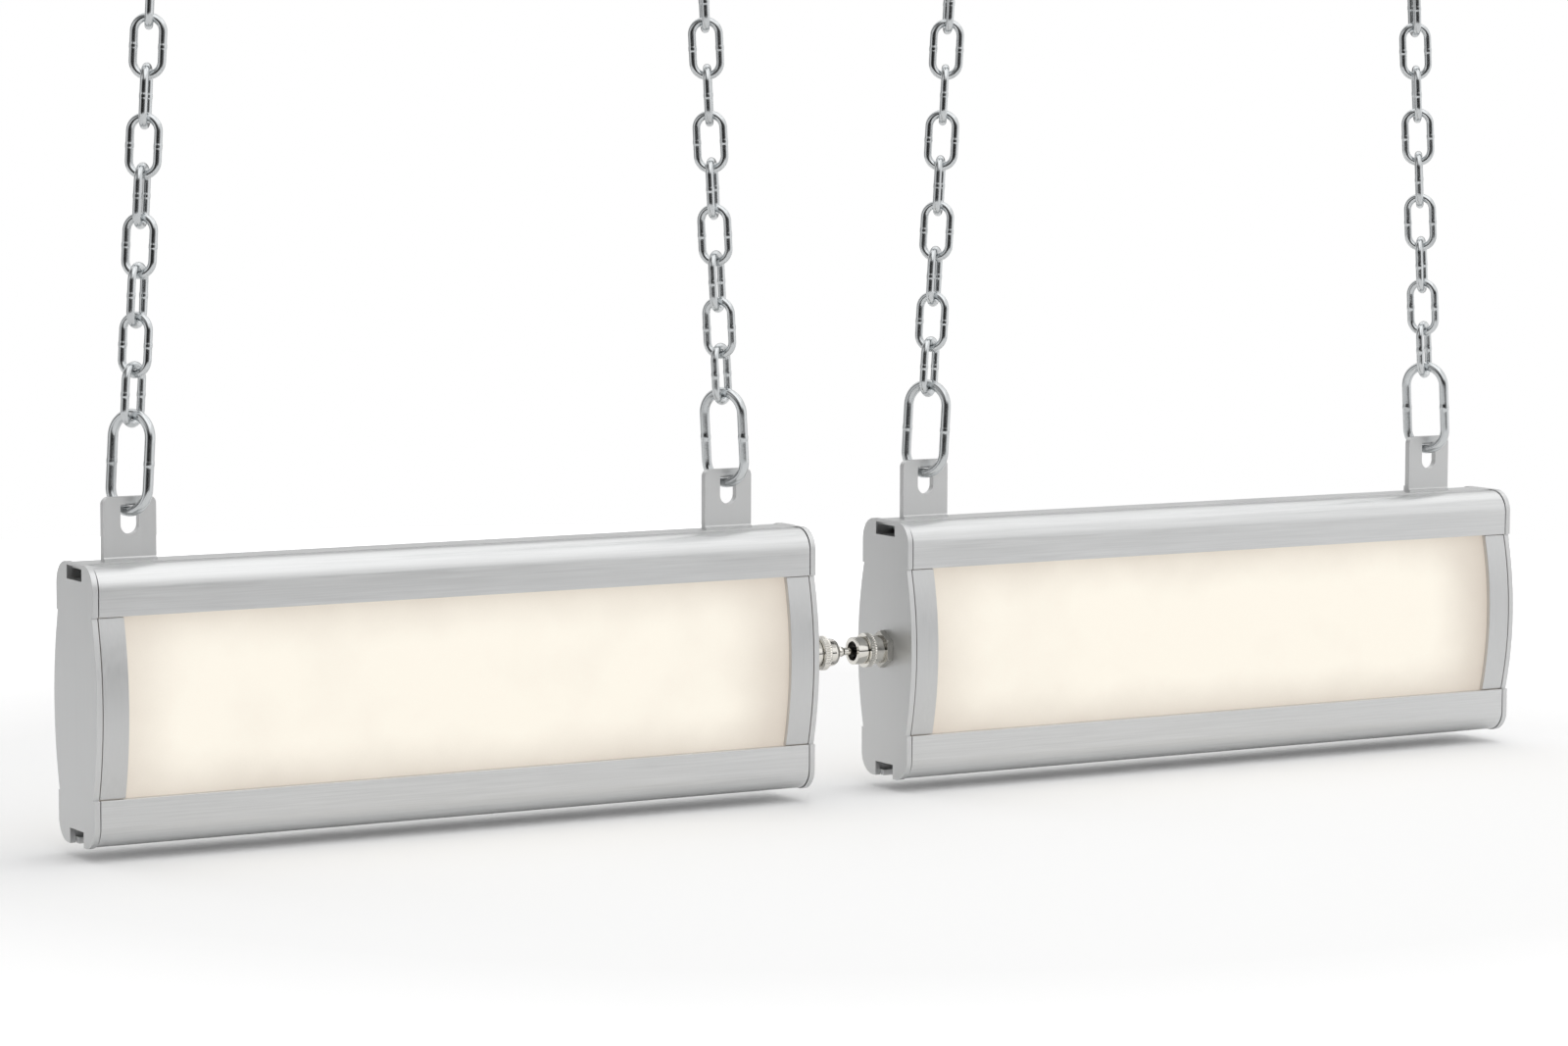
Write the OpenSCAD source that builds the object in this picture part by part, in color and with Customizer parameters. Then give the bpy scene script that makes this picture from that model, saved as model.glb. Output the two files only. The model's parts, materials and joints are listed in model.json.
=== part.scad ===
// Twin hanging shop light: two slim double-faced light modules in one line,
// each hung by two welded chains from ceiling hooks and joined by a round plug.
// X runs along the line, Y is the depth (the front is -Y), Z is up.
// The origin lies on the ceiling, midway between the two outer hooks.

/* [Light modules] */
// Length of one module over its end plates
module_length = 438; // [300:1:900]
// Height of a module
module_height = 150; // [140:1:200]
// Gap between the two modules
module_gap = 61.5; // [58:0.5:80]
// Thickness of an end plate
end_plate_t = 3.3; // [3:0.1:4]

/* [Rails and channels] */
// Depth across the front and rear rails
rail_depth = 50.3; // [50:0.1:70]
// Height of each rail beside the window
rail_height = 26.7; // [26:0.1:34]
// Wall of a rail
rail_wall = 1.6; // [1.2:0.1:1.8]
// Outer corner radius of a rail
rail_corner = 12.5; // [8:0.1:13]
// Width of the channel strip that shows between two rails
strip_w = 18.3; // [16:0.1:19]
// How far the channel stands above its rails
strip_proud = 0.6; // [0.2:0.1:1]
// Open seam from a rail or bezel to the part beside it
seam = 0.4; // [0.1:0.1:0.8]
// Inner width of a channel
channel_w = 20.6; // [19:0.1:22]
// Inner height of a channel
channel_h = 5.6; // [5:0.1:7]
// Wall of a channel
channel_wall = 1.5; // [1.2:0.1:2]
// Depth of the channel's lips, from the outer face to the hollow
lip_depth = 3.4; // [3:0.1:4]
// Width of the accessory slot under a module
slot_w = 11; // [8:0.5:13]

/* [Window] */
// Step from the rail face back to the bowed edge of the bezel
bow_step = 1.6; // [0.6:0.1:2]
// Rise of the bow at mid height
bow_rise = 6.2; // [4:0.1:8]
// Width of a bezel strip at each end of the window
bezel_w = 15; // [8:0.5:25]
// Thickness of a bezel strip
bezel_t = 3; // [2:0.1:3.5]
// Thickness of the diffuser
diffuser_t = 2; // [1.5:0.1:2.5]
// Depth of the rail lip behind the diffuser
seat_h = 3; // [2:0.5:5]
// Distance from the middle plane to the rail lip
seat_y = 16; // [15.9:0.1:16.4]

/* [Light engine] */
// Thickness of the web plate in the middle
web_t = 2.5; // [2:0.1:4]
// Space between the web plate and an end plate
web_end_space = 17; // [16:1:30]
// Height of a light board
board_h = 70; // [40:1:80]
// Thickness of a light board
board_t = 1.6; // [1:0.1:2]
// Side of a light emitter
emitter = 5; // [3:0.5:6]
// Light emitters in one row of a board
emitters = 12; // [6:1:20]
// Length of the driver
driver_l = 130; // [80:1:180]
// Height of the driver
driver_h = 14; // [8:1:14]
// Width of the driver
driver_w = 8.6; // [6:0.1:8.6]
// Diameter of the inner wiring
wire_d = 2; // [1.5:0.1:2.2]
// Diameter of the pins that locate the end plates
dowel_d = 2.9; // [2:0.1:3]
// Length of the pins that locate the end plates
dowel_l = 12; // [8:1:16]

/* [Hanger brackets] */
// First bracket, from the left end of the left module
bracket_1_from_end = 31; // [25:1:120]
// Second bracket, from the right end of the left module
bracket_2_from_end = 44; // [25:1:120]
// Third bracket, from the left end of the right module
bracket_3_from_end = 26; // [25:1:120]
// Fourth bracket, from the right end of the right module
bracket_4_from_end = 46; // [25:1:120]
// Width of a bracket
bracket_w = 30; // [26:1:36]
// Height of a bracket above the module
bracket_h = 34; // [30:1:50]
// Thickness of a bracket
bracket_t = 4; // [3:0.1:4.5]
// Radius of a bracket's top corners
bracket_corner = 4; // [1:0.5:8]
// Width of a bracket's rear foot
foot_w = 21; // [20:0.5:26]
// Thickness of a bracket's rear foot
foot_t = 3; // [2:0.1:4]
// Height of the toe along a bracket's front
toe_h = 1.3; // [0.8:0.1:3]
// Radius of the hollow fillet over the toe
toe_r = 1.1; // [0.5:0.1:3]
// Width of the slot for the link
link_slot_w = 10.5; // [9.5:0.1:14]
// Height of the bar above the slot
bridge_h = 5; // [4:0.1:8]
// Height of the slot's lower end above the module
slot_floor = 14; // [10:0.5:15]
// Diameter of a bracket screw
screw_d = 3; // [2.5:0.1:3.5]
// Spacing of a bracket's two screws
screw_spread = 12; // [10:0.5:14]

/* [Chains] */
// Small links in one chain
small_links = 10; // [4:1:40]
// Wire of a small link
link_wire = 4.4; // [3:0.1:4.6]
// Outer length of a small link
link_l = 35.2; // [33:0.1:40]
// Outer width of a small link
link_w = 19.6; // [18.5:0.1:24]
// Wire of the large lower link
big_wire = 5.5; // [4.5:0.1:5.8]
// Outer length of the large link
big_l = 57; // [54:0.5:80]
// Outer width of the large link
big_w = 30; // [28:0.5:40]
// Room between touching links
link_gap = 0.25; // [0.2:0.01:0.3]
// Turn of the large link from the module's length
big_turn = 60; // [55:1:90]
// Turn of each small link past the square crossing
link_twist = 4; // [0:0.5:5]
// Lean of a chain towards the middle of its module
chain_lean = 3.2; // [0:0.1:6]

/* [Ceiling fittings] */
// Diameter of a ceiling plate
plate_d = 44; // [38:1:70]
// Thickness of a ceiling plate
plate_t = 3; // [2:0.5:5]
// Distance between the two screw holes of a plate
plate_hole_spacing = 28; // [24:1:32]
// Diameter of a screw hole
plate_hole_d = 4.5; // [3.5:0.1:5.5]
// Wire of a hook
hook_wire = 5; // [4:0.1:6]
// Radius of a hook, to the middle of its wire
hook_r = 9; // [8:0.5:14]
// Straight neck above a hook
hook_neck = 6; // [4:1:20]

/* [Connectors] */
// Diameter of a connector's barrel
barrel_d = 15.8; // [15:0.1:16]
// Width across the flats of a hexagon nut
nut_flats = 19; // [18:0.1:22]
// Thickness of a hexagon nut
nut_t = 3.8; // [3:0.1:6]
// Diameter of a coupling ring
ring_d = 19.8; // [18:0.1:22]
// Width of the plug's coupling ring
plug_ring_w = 5; // [4:0.1:6]
// Width of the socket's coupling ring
socket_ring_w = 4.6; // [4:0.1:5]
// Diameter of the neck under a ring
neck_d = 12; // [11:0.1:13]
// Distance from the end plate to the plug's ring
plug_ring_x = 16; // [12:0.5:18]
// Length of the plug's sleeve in front of the ring
plug_sleeve_l = 6; // [4:0.5:8]
// Diameter of the plug's ball
ball_d = 6; // [5:0.1:7]
// Diameter of the plug's stem
stem_d = 4.4; // [3:0.1:4.6]
// How far the stem stands in the socket's mouth
stem_reach = 1.7; // [1:0.1:2]
// Distance from the end plate to the socket's ring
socket_ring_x = 10.4; // [9:0.1:10.6]
// Length of the socket from the end plate to its mouth
socket_l = 22; // [22:0.5:24]
// Bore of a socket's mouth
mouth_d = 11; // [10.8:0.1:12]
// Depth of a socket's mouth
mouth_depth = 5.5; // [4:0.5:5.5]
// Length of the supply inlet in front of the end plate
inlet_l = 14; // [12:0.5:18]

/* [Hidden] */
$fn = 48;

LEFT = 0;
RIGHT = 1;
FRONT = -1;
REAR = 1;
slip = 0.05;
through = 1;

// Module section
half_depth = rail_depth / 2;
rail_top = module_height - strip_proud;
window_low = rail_height;
window_high = module_height - rail_height;
window_mid = module_height / 2;
half_window = module_height / 2 - rail_height;
bow_r = (half_window * half_window + bow_rise * bow_rise) / (2 * bow_rise);
bow_facets = 720;
diffuser_inner_r = bow_r - bezel_t - diffuser_t;
bow_centre = half_depth - bow_step + bow_rise - bow_r;
shoulder_y = channel_w / 2 + channel_wall;
shoulder_z = rail_top - rail_wall;
hollow_top = module_height - lip_depth;
hollow_low = hollow_top - channel_h;
channel_low = hollow_low - channel_wall;
boss = 6;
boss_y = 7.5;
boss_z = channel_low - boss / 2;
dowel_hole = dowel_d + 2 * slip;
leg_t = 1.4;
raceway_top_margin = 1.6;
notch_w = 19;
notch_h = 8.3;

// Lengthwise places, from the left end of the left module
tab_u = [
  bracket_1_from_end,
  module_length - bracket_2_from_end,
  module_length + module_gap + bracket_3_from_end,
  2 * module_length + module_gap - bracket_4_from_end
];
lean_side = [1, -1, 1, -1];

// Chain heights along the leaning line, from the large link's lower wire
big_centre_l = big_l - big_wire;
link_centre_l = link_l - link_wire;
link_pitch = link_centre_l - link_wire - link_gap;
first_small = big_centre_l - (big_wire + link_wire) / 2 - link_gap;
top_wire = first_small + (small_links - 1) * link_pitch + link_centre_l;
chain_rise = top_wire * cos(chain_lean);
chain_shift = top_wire * sin(chain_lean);

// Heights from the ceiling down
hook_z = -(plate_t + hook_neck + 2 * hook_r);
top_wire_z = hook_z + (hook_wire + link_wire) / 2 + link_gap;
low_wire_z = top_wire_z - chain_rise;
bridge_z = bracket_h - bridge_h;
module_z = low_wire_z + big_wire / 2 + link_gap - bridge_z - module_height;

// The origin is midway between the outer hooks
function hook_u(n) = tab_u[n] + lean_side[n] * chain_shift;
origin_u = (hook_u(0) + hook_u(3)) / 2;
function module_x(side) = side * (module_length + module_gap) - origin_u;
function tab_x(n) = tab_u[n] - origin_u;
function hook_x(n) = hook_u(n) - origin_u;
function link_angle(j) = big_turn - 90 * j - link_twist * j;

aluminium = [0.78, 0.79, 0.8];
zinc = [0.72, 0.74, 0.76];
nickel = [0.7, 0.69, 0.66];
warm_white = [0.97, 0.92, 0.84];
board_white = [0.93, 0.93, 0.9];
emitter_yellow = [0.95, 0.82, 0.4];
black = [0.12, 0.12, 0.13];

// ---- placing helpers ----

// Extrudes a section drawn in (Y, Z) from x0 to x1
module along_x(x0, x1) {
  translate([x0, 0, 0]) rotate([90, 0, 90]) linear_extrude(x1 - x0) children();
}

// A cylinder along X
module rod_x(x0, x1, d) {
  translate([x0, 0, 0]) rotate([0, 90, 0]) cylinder(h = x1 - x0, d = d);
}

module at_module(side) {
  translate([module_x(side), 0, module_z]) children();
}

module flip_side(face) {
  if (face == FRONT) mirror([0, 1, 0]) children();
  else children();
}

module flip_height(top) {
  if (top) children();
  else translate([0, 0, module_height]) mirror([0, 0, 1]) children();
}

// The leaning line of chain n, with its zero at the large link's lower wire
module on_chain(n) {
  translate([tab_x(n), 0, low_wire_z]) rotate([0, lean_side[n] * chain_lean, 0]) children();
}

// ---- rails and channels ----

// One quarter of the rail section: rounded block with its upper corner at (y1, z1)
module rounded_corner(y0, z0, y1, z1, r) {
  translate([y0, z0]) square([y1 - r - y0, z1 - z0]);
  translate([y0, z0]) square([y1 - y0, z1 - r - z0]);
  translate([y1 - r, z1 - r]) intersection() {
    circle(r = r);
    square([r, r]);
  }
}

module rail_section() {
  difference() {
    rounded_corner(strip_w / 2 + seam, window_high, half_depth, rail_top, rail_corner);
    rounded_corner(strip_w / 2 - through, window_high - through, half_depth - rail_wall,
      rail_top - rail_wall, rail_corner - rail_wall);
  }
  // Flange over the window, lip behind the diffuser and leg beside the channel
  translate([seat_y, window_high]) square([half_depth - seat_y, rail_wall]);
  translate([seat_y, window_high - seat_h]) square([rail_wall, seat_h + rail_wall]);
  translate([shoulder_y, channel_low]) square([leg_t, rail_top - channel_low - rail_wall / 2]);
}

module rail(side, face, top) {
  color(aluminium) at_module(side) flip_height(top) flip_side(face)
    along_x(end_plate_t + seam, module_length - end_plate_t - seam) rail_section();
}

module channel_section(open_slot) {
  difference() {
    union() {
      translate([-strip_w / 2, channel_low]) square([strip_w, module_height - channel_low]);
      translate([-shoulder_y, channel_low]) square([2 * shoulder_y, shoulder_z - channel_low]);
      for (y = [-boss_y, boss_y])
        translate([y - boss / 2, boss_z - boss / 2]) square([boss, boss + channel_wall / 2]);
    }
    translate([-channel_w / 2, hollow_low]) square([channel_w, channel_h]);
    if (open_slot)
      translate([-slot_w / 2, hollow_low + through]) square([slot_w, module_height - hollow_low]);
    for (y = [-boss_y, boss_y]) translate([y, boss_z]) circle(d = dowel_hole);
  }
}

module top_channel(side) {
  color(aluminium) at_module(side) difference() {
    along_x(end_plate_t, module_length - end_plate_t) channel_section(false);
    for (n = [2 * side, 2 * side + 1]) bracket_screw_places(n, side) bracket_screw_hole();
  }
}

module bottom_channel(side) {
  color(aluminium) at_module(side) flip_height(false)
    along_x(end_plate_t, module_length - end_plate_t) channel_section(true);
}

// ---- window ----

// Slice of a bowed wall between radii r0 and r1, on the +Y side
module bowed_wall(x0, x1, r0, r1, z0, z1) {
  intersection() {
    translate([0, bow_centre, window_mid]) difference() {
      rod_x(x0, x1, 2 * r1, $fn = bow_facets);
      rod_x(x0 - through, x1 + through, 2 * r0, $fn = bow_facets);
    }
    translate([x0, 0, z0]) cube([x1 - x0, 2 * half_depth, z1 - z0]);
  }
}

module diffuser(side, face) {
  color(warm_white) at_module(side) flip_side(face)
    bowed_wall(end_plate_t, module_length - end_plate_t, diffuser_inner_r, bow_r - bezel_t,
      window_low, window_high);
}

module window_bezels(side) {
  bezel_low = window_low + seam;
  bezel_high = window_high - seam;
  far = module_length - end_plate_t;
  color(aluminium) at_module(side) for (face = [FRONT, REAR]) flip_side(face) {
    bowed_wall(end_plate_t + seam, end_plate_t + bezel_w, bow_r - bezel_t, bow_r, bezel_low, bezel_high);
    bowed_wall(far - bezel_w, far - seam, bow_r - bezel_t, bow_r, bezel_low, bezel_high);
  }
}

module diffuser_seals(side) {
  seal_y = seat_y + rail_wall;
  color(black) at_module(side) for (face = [FRONT, REAR]) flip_side(face)
    for (z = [window_low, window_high - seat_h]) intersection() {
      translate([0, bow_centre, window_mid])
        rod_x(end_plate_t, module_length - end_plate_t, 2 * (diffuser_inner_r - slip), $fn = bow_facets);
      translate([0, seal_y, z]) cube([module_length, half_depth, seat_h]);
    }
}

// ---- end plates ----

module end_plate_blank() {
  difference() {
    union() {
      along_x(0, end_plate_t) difference() {
        for (a = [-1, 1], b = [-1, 1])
          translate([0, window_mid]) scale([a, b]) translate([0, -window_mid])
            rounded_corner(-through, window_mid - through, half_depth, module_height, rail_corner);
        for (a = [-1, 1]) scale([a, 1])
          translate([seat_y, window_low]) square([half_depth, window_high - window_low]);
      }
      // The bowed part starts inside the rail heights, where the rounded block is deeper
      for (face = [FRONT, REAR]) flip_side(face) intersection() {
        translate([0, bow_centre, window_mid]) rod_x(0, end_plate_t, 2 * bow_r, $fn = bow_facets);
        translate([0, 0, window_low - through])
          cube([end_plate_t, 2 * half_depth, window_high - window_low + 2 * through]);
      }
    }
    // Raceway hole near the top and the notch that continues the slot below
    translate([-through, -channel_w / 2, hollow_low])
      cube([end_plate_t + 2 * through, channel_w, module_height - raceway_top_margin - hollow_low]);
    translate([-through, -notch_w / 2, -through])
      cube([end_plate_t + 2 * through, notch_w, notch_h + through]);
  }
}

// The end plate at x = 0, with its inner face towards +X
module end_plate(with_bore) {
  color(aluminium) difference() {
    end_plate_blank();
    if (with_bore) translate([0, 0, window_mid]) rod_x(-through, end_plate_t + through, barrel_d + 2 * slip);
    dowel_places() rod_x(end_plate_t - dowel_seat, end_plate_t + through, dowel_hole);
  }
}

dowel_seat = 2;

module dowel_places() {
  for (y = [-boss_y, boss_y], z = [boss_z, module_height - boss_z]) translate([0, y, z]) children();
}

module at_left_end(side) {
  at_module(side) children();
}

module at_right_end(side) {
  at_module(side) translate([module_length, 0, 0]) mirror([1, 0, 0]) children();
}

module end_plate_pins(side) {
  color(zinc) {
    at_left_end(side) end_pins();
    at_right_end(side) end_pins();
  }
}

module end_pins() {
  pin_start = end_plate_t - dowel_seat + slip;
  dowel_places() rod_x(pin_start, pin_start + dowel_l, dowel_d);
}

// ---- light engine ----

module web_plate(side) {
  x0 = end_plate_t + web_end_space;
  low = module_height - channel_low;
  color(aluminium) at_module(side) translate([x0, -web_t / 2, low])
    cube([module_length - 2 * x0, web_t, channel_low - low]);
}

board_inset = 4;
board_x0 = end_plate_t + web_end_space + board_inset;

module light_boards(side) {
  color(board_white) at_module(side) for (face = [FRONT, REAR]) flip_side(face)
    translate([board_x0, web_t / 2, window_mid - board_h / 2])
      cube([module_length - 2 * board_x0, board_t, board_h]);
}

emitter_h = 1;

module light_emitters(side) {
  pitch = (module_length - 2 * board_x0) / emitters;
  color(emitter_yellow) at_module(side) for (face = [FRONT, REAR]) flip_side(face)
    for (i = [0:emitters - 1], row = [-1, 1])
      translate([board_x0 + (i + 0.5) * pitch - emitter / 2, web_t / 2 + board_t,
        window_mid + row * board_h / 4 - emitter / 2])
        cube([emitter, emitter_h, emitter]);
}

driver_gap = 0.4;
driver_y = shoulder_y + leg_t + driver_gap;
driver_top = rail_height - rail_wall;
driver_x = module_length / 2 - driver_l / 2;

module driver(side) {
  color("white") at_module(side) translate([driver_x, driver_y, driver_top - driver_h])
    cube([driver_l, driver_w, driver_h]);
}

rear_body_l = 9;
wire_bend = 4;
wire_inset = 0.1;
wire_y = driver_y + wire_d / 2 + wire_inset;
wire_drop_z = driver_top - driver_h / 2;
wire_x0 = end_plate_t + rear_body_l + slip;
wire_stub = 0.6;
wire_turn_x = wire_x0 + wire_bend + wire_stub;
lead_inset = 9.6;

// Quarter bend of a wire in the XY plane, from +X round to +Y of its centre
module wire_elbow() {
  rotate_extrude(angle = 90) translate([wire_bend, 0]) circle(d = wire_d);
}

// Lead from the back of a connector behind the end plate to the driver
module supply_wire() {
  rod_y = wire_y - wire_bend;
  translate([0, 0, window_mid]) rod_x(wire_x0, wire_turn_x - wire_bend, wire_d);
  translate([wire_turn_x - wire_bend, wire_bend, window_mid]) rotate([0, 0, -90]) wire_elbow();
  translate([wire_turn_x, wire_bend, window_mid]) rotate([-90, 0, 0]) cylinder(h = rod_y - wire_bend, d = wire_d);
  translate([wire_turn_x, rod_y, window_mid - wire_bend]) rotate([90, 0, 90]) wire_elbow();
  translate([wire_turn_x, wire_y, wire_drop_z + wire_bend])
    cylinder(h = window_mid - wire_drop_z - 2 * wire_bend, d = wire_d);
  translate([wire_turn_x + wire_bend, wire_y, wire_drop_z + wire_bend])
    rotate([90, 0, 0]) rotate([0, 0, 180]) wire_elbow();
  translate([0, wire_y, wire_drop_z]) rod_x(wire_turn_x + wire_bend, driver_x, wire_d);
}

// Lead from the driver's top up to the rear light board
module board_wire() {
  lead_x = driver_x + lead_inset;
  lead_z = window_mid - board_h / 2 + board_inset;
  board_face = web_t / 2 + board_t;
  rod_y = wire_y - wire_bend;
  translate([lead_x, wire_y, driver_top]) cylinder(h = lead_z - wire_bend - driver_top, d = wire_d);
  translate([lead_x, rod_y, lead_z - wire_bend]) rotate([90, 0, 90]) wire_elbow();
  translate([lead_x, board_face, lead_z]) rotate([-90, 0, 0]) cylinder(h = rod_y - board_face, d = wire_d);
}

module wiring(side) {
  color("white") {
    at_right_end(side) supply_wire();
    if (side == RIGHT) at_left_end(side) supply_wire();
    at_module(side) board_wire();
  }
}

// ---- hanger brackets ----

foot_margin = 0.2;
foot_end = strip_w / 2 - foot_margin;
head_d = 5.6;
head_h = 2;
head_recess_d = 2.4;
screw_shift = 0.4;
screw_y = (bracket_t / 2 + foot_end) / 2 + screw_shift;
nut_bar_t = 3;
screw_clear = 0.3;

// Section of the toe in (Y, Z): a low step with a hollow fillet up to the upright's front face
module toe_section() {
  difference() {
    translate([-bracket_t / 2 - toe_r, 0]) square([toe_r + bracket_t / 2, toe_h + toe_r]);
    translate([-bracket_t / 2 - toe_r, toe_h + toe_r]) circle(r = toe_r);
  }
}

// Upright with rounded top corners, slot with a half-round bar over it, front toe and rear foot
module bracket() {
  half_t = bracket_t / 2;
  difference() {
    union() {
      translate([-bracket_w / 2, -half_t, 0]) cube([bracket_w, bracket_t, bracket_h - bracket_corner]);
      translate([-bracket_w / 2 + bracket_corner, -half_t, bracket_h - bracket_corner])
        cube([bracket_w - 2 * bracket_corner, bracket_t, bracket_corner]);
      for (x = [-1, 1]) translate([x * (bracket_w / 2 - bracket_corner), half_t, bracket_h - bracket_corner])
        rotate([90, 0, 0]) cylinder(h = bracket_t, r = bracket_corner);
      along_x(-bracket_w / 2, bracket_w / 2) toe_section();
      translate([-foot_w / 2, 0, 0]) cube([foot_w, foot_end, foot_t]);
    }
    slot_cut_top = bridge_z + half_t;
    slot_low = slot_floor + link_slot_w / 2;
    translate([-link_slot_w / 2, -half_t - through, slot_low])
      cube([link_slot_w, bracket_t + 2 * through, slot_cut_top - slot_low]);
    translate([0, half_t + through, slot_low]) rotate([90, 0, 0]) cylinder(h = bracket_t + 2 * through, d = link_slot_w);
    for (x = [-1, 1]) translate([x * screw_spread / 2, screw_y, -through])
      cylinder(h = foot_t + 2 * through, d = screw_d + screw_clear);
  }
  translate([0, 0, bridge_z + half_t]) rod_x(-link_slot_w / 2 - slip, link_slot_w / 2 + slip, bracket_t);
}

module at_tab(n, side) {
  translate([tab_u[n] - side * (module_length + module_gap), 0, module_height]) children();
}

module bracket_screw_places(n, side) {
  at_tab(n, side) for (x = [-1, 1]) translate([x * screw_spread / 2, screw_y, 0]) children();
}

module bracket_screw_hole() {
  translate([0, 0, -lip_depth - through]) cylinder(h = lip_depth + 2 * through, d = screw_d + screw_clear);
}

module hanger_brackets(side) {
  color(aluminium) at_module(side) for (n = [2 * side, 2 * side + 1]) at_tab(n, side) bracket();
}

module bracket_screws(side) {
  tip = lip_depth + nut_bar_t;
  color(zinc) at_module(side) for (n = [2 * side, 2 * side + 1]) bracket_screw_places(n, side) {
    translate([0, 0, -tip]) cylinder(h = tip + foot_t + slip, d = screw_d);
    difference() {
      translate([0, 0, foot_t]) cylinder(h = head_h, d = head_d);
      translate([0, 0, foot_t + head_h / 2]) cylinder(h = head_h, d = head_recess_d, $fn = 6);
    }
  }
}

module nut_bars(side) {
  color(zinc) at_module(side) for (n = [2 * side, 2 * side + 1]) difference() {
    at_tab(n, side) translate([-bracket_w / 2, 0, -lip_depth - nut_bar_t])
      cube([bracket_w, channel_w / 2 - slip, nut_bar_t]);
    bracket_screw_places(n, side) translate([0, 0, -lip_depth - nut_bar_t - through])
      cylinder(h = nut_bar_t + 2 * through, d = screw_d + 2 * slip);
  }
}

// ---- chains ----

bead_h = 1.3;
bead_proud = 0.35;

// An oval link in the XZ plane, its lower wire centred on the origin
module oval_link(length, width, wire) {
  a = (width - wire) / 2;
  centre_l = length - wire;
  translate([0, 0, a]) rotate([-90, 0, 0]) rotate_extrude(angle = 180) translate([a, 0]) circle(d = wire, $fn = 24);
  translate([0, 0, centre_l - a]) rotate([90, 0, 0]) rotate_extrude(angle = 180) translate([a, 0]) circle(d = wire, $fn = 24);
  for (x = [-a, a]) {
    translate([x, 0, a]) cylinder(h = centre_l - 2 * a, d = wire, $fn = 24);
    // Weld bead round the middle of the leg
    translate([x, 0, (centre_l - bead_h) / 2]) cylinder(h = bead_h, d = wire + 2 * bead_proud, $fn = 24);
  }
}

// Small link j of chain n, counted up from the large link
module small_link(n, j) {
  on_chain(n) translate([0, 0, first_small + (j - 1) * link_pitch]) rotate([0, 0, -link_angle(j)])
    oval_link(link_l, link_w, link_wire);
}

module chain_run(n) {
  color(zinc) for (j = [1:small_links - 1]) small_link(n, j);
}

module top_links() {
  color(zinc) for (n = [0:3]) small_link(n, small_links);
}

module large_links(side) {
  color(zinc) for (n = [2 * side, 2 * side + 1])
    on_chain(n) rotate([0, 0, -big_turn]) oval_link(big_l, big_w, big_wire);
}

// ---- ceiling fittings ----

module ceiling_plates() {
  color(zinc) for (n = [0:3]) translate([hook_x(n), 0, -plate_t]) difference() {
    cylinder(h = plate_t, d = plate_d);
    for (y = [-1, 1]) translate([0, y * plate_hole_spacing / 2, -through])
      cylinder(h = plate_t + 2 * through, d = plate_hole_d);
  }
}

hook_arc = 270;

// Open hook: neck, three quarters of a ring and a rounded tip
module hook() {
  translate([0, 0, hook_z + 2 * hook_r]) cylinder(h = hook_neck, d = hook_wire);
  translate([0, 0, hook_z + hook_r]) rotate([90, 0, 0]) rotate([0, 0, 90 - hook_arc])
    rotate_extrude(angle = hook_arc) translate([hook_r, 0]) circle(d = hook_wire, $fn = 24);
  translate([-hook_r, 0, hook_z + hook_r]) sphere(d = hook_wire, $fn = 24);
  translate([0, 0, hook_z + 2 * hook_r]) sphere(d = hook_wire, $fn = 24);
}

module ceiling_hooks() {
  color(zinc) for (n = [0:3]) translate([hook_x(n), 0, 0])
    rotate([0, 0, 90 - link_angle(small_links)]) hook();
}

// ---- connectors, drawn from the end plate's outer face (x = 0) outwards ----

axial = 0.2;
chamfer = 0.8;

module at_plug() {
  translate([module_x(LEFT) + module_length, 0, module_z + window_mid]) children();
}

module at_socket() {
  translate([module_x(RIGHT), 0, module_z + window_mid]) mirror([1, 0, 0]) children();
}

module at_inlet() {
  translate([module_x(RIGHT) + module_length, 0, module_z + window_mid]) children();
}

module hexagon_nut() {
  color(nickel) difference() {
    intersection() {
      rotate([0, 90, 0]) cylinder(h = nut_t, d = nut_flats / cos(30), $fn = 6);
      rotate([0, 90, 0]) union() {
        cylinder(h = nut_t - chamfer, d = nut_flats / cos(30) + 2 * slip);
        translate([0, 0, nut_t - chamfer])
          cylinder(h = chamfer, d1 = nut_flats / cos(30) + 2 * slip, d2 = nut_flats / cos(30) - 2 * chamfer);
      }
    }
    rod_x(-through, nut_t + through, barrel_d + 2 * slip);
  }
}

groove_count = 40;
groove_d = 0.9;
groove_lift = 0.22;
groove_margin = 1;

// Coupling ring with round grooves cut along its rim
module coupling_ring(x0, w) {
  color(nickel) difference() {
    rod_x(x0 + axial, x0 + w - axial, ring_d);
    rod_x(x0 - through, x0 + w + through, neck_d + 2 * slip);
    for (k = [0:groove_count - 1]) rotate([k * 360 / groove_count, 0, 0])
      translate([0, 0, ring_d / 2 + groove_lift])
        rod_x(x0 + groove_margin, x0 + w - groove_margin, groove_d, $fn = 13);
  }
}

plug_sleeve_x = plug_ring_x + plug_ring_w;
plug_cone_x = plug_sleeve_x + plug_sleeve_l;
cone_l = 2.2;
cone_d = 7;
ball_sink = 0.8;
ball_x = plug_cone_x + cone_l + ball_d / 2 - ball_sink;
stem_tip = module_gap - socket_l + stem_reach;

// Barrel, neck, sleeve and cone, hollowed for the ball pin
module plug_body() {
  color(nickel) at_plug() difference() {
    union() {
      rod_x(-end_plate_t - rear_body_l, plug_ring_x, barrel_d);
      rod_x(plug_ring_x - through, plug_sleeve_x + through, neck_d);
      rod_x(plug_sleeve_x, plug_cone_x, barrel_d);
      translate([plug_cone_x, 0, 0]) rotate([0, 90, 0]) cylinder(h = cone_l, d1 = barrel_d, d2 = cone_d);
    }
    translate([ball_x, 0, 0]) sphere(d = ball_d + 2 * slip);
  }
}

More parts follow.
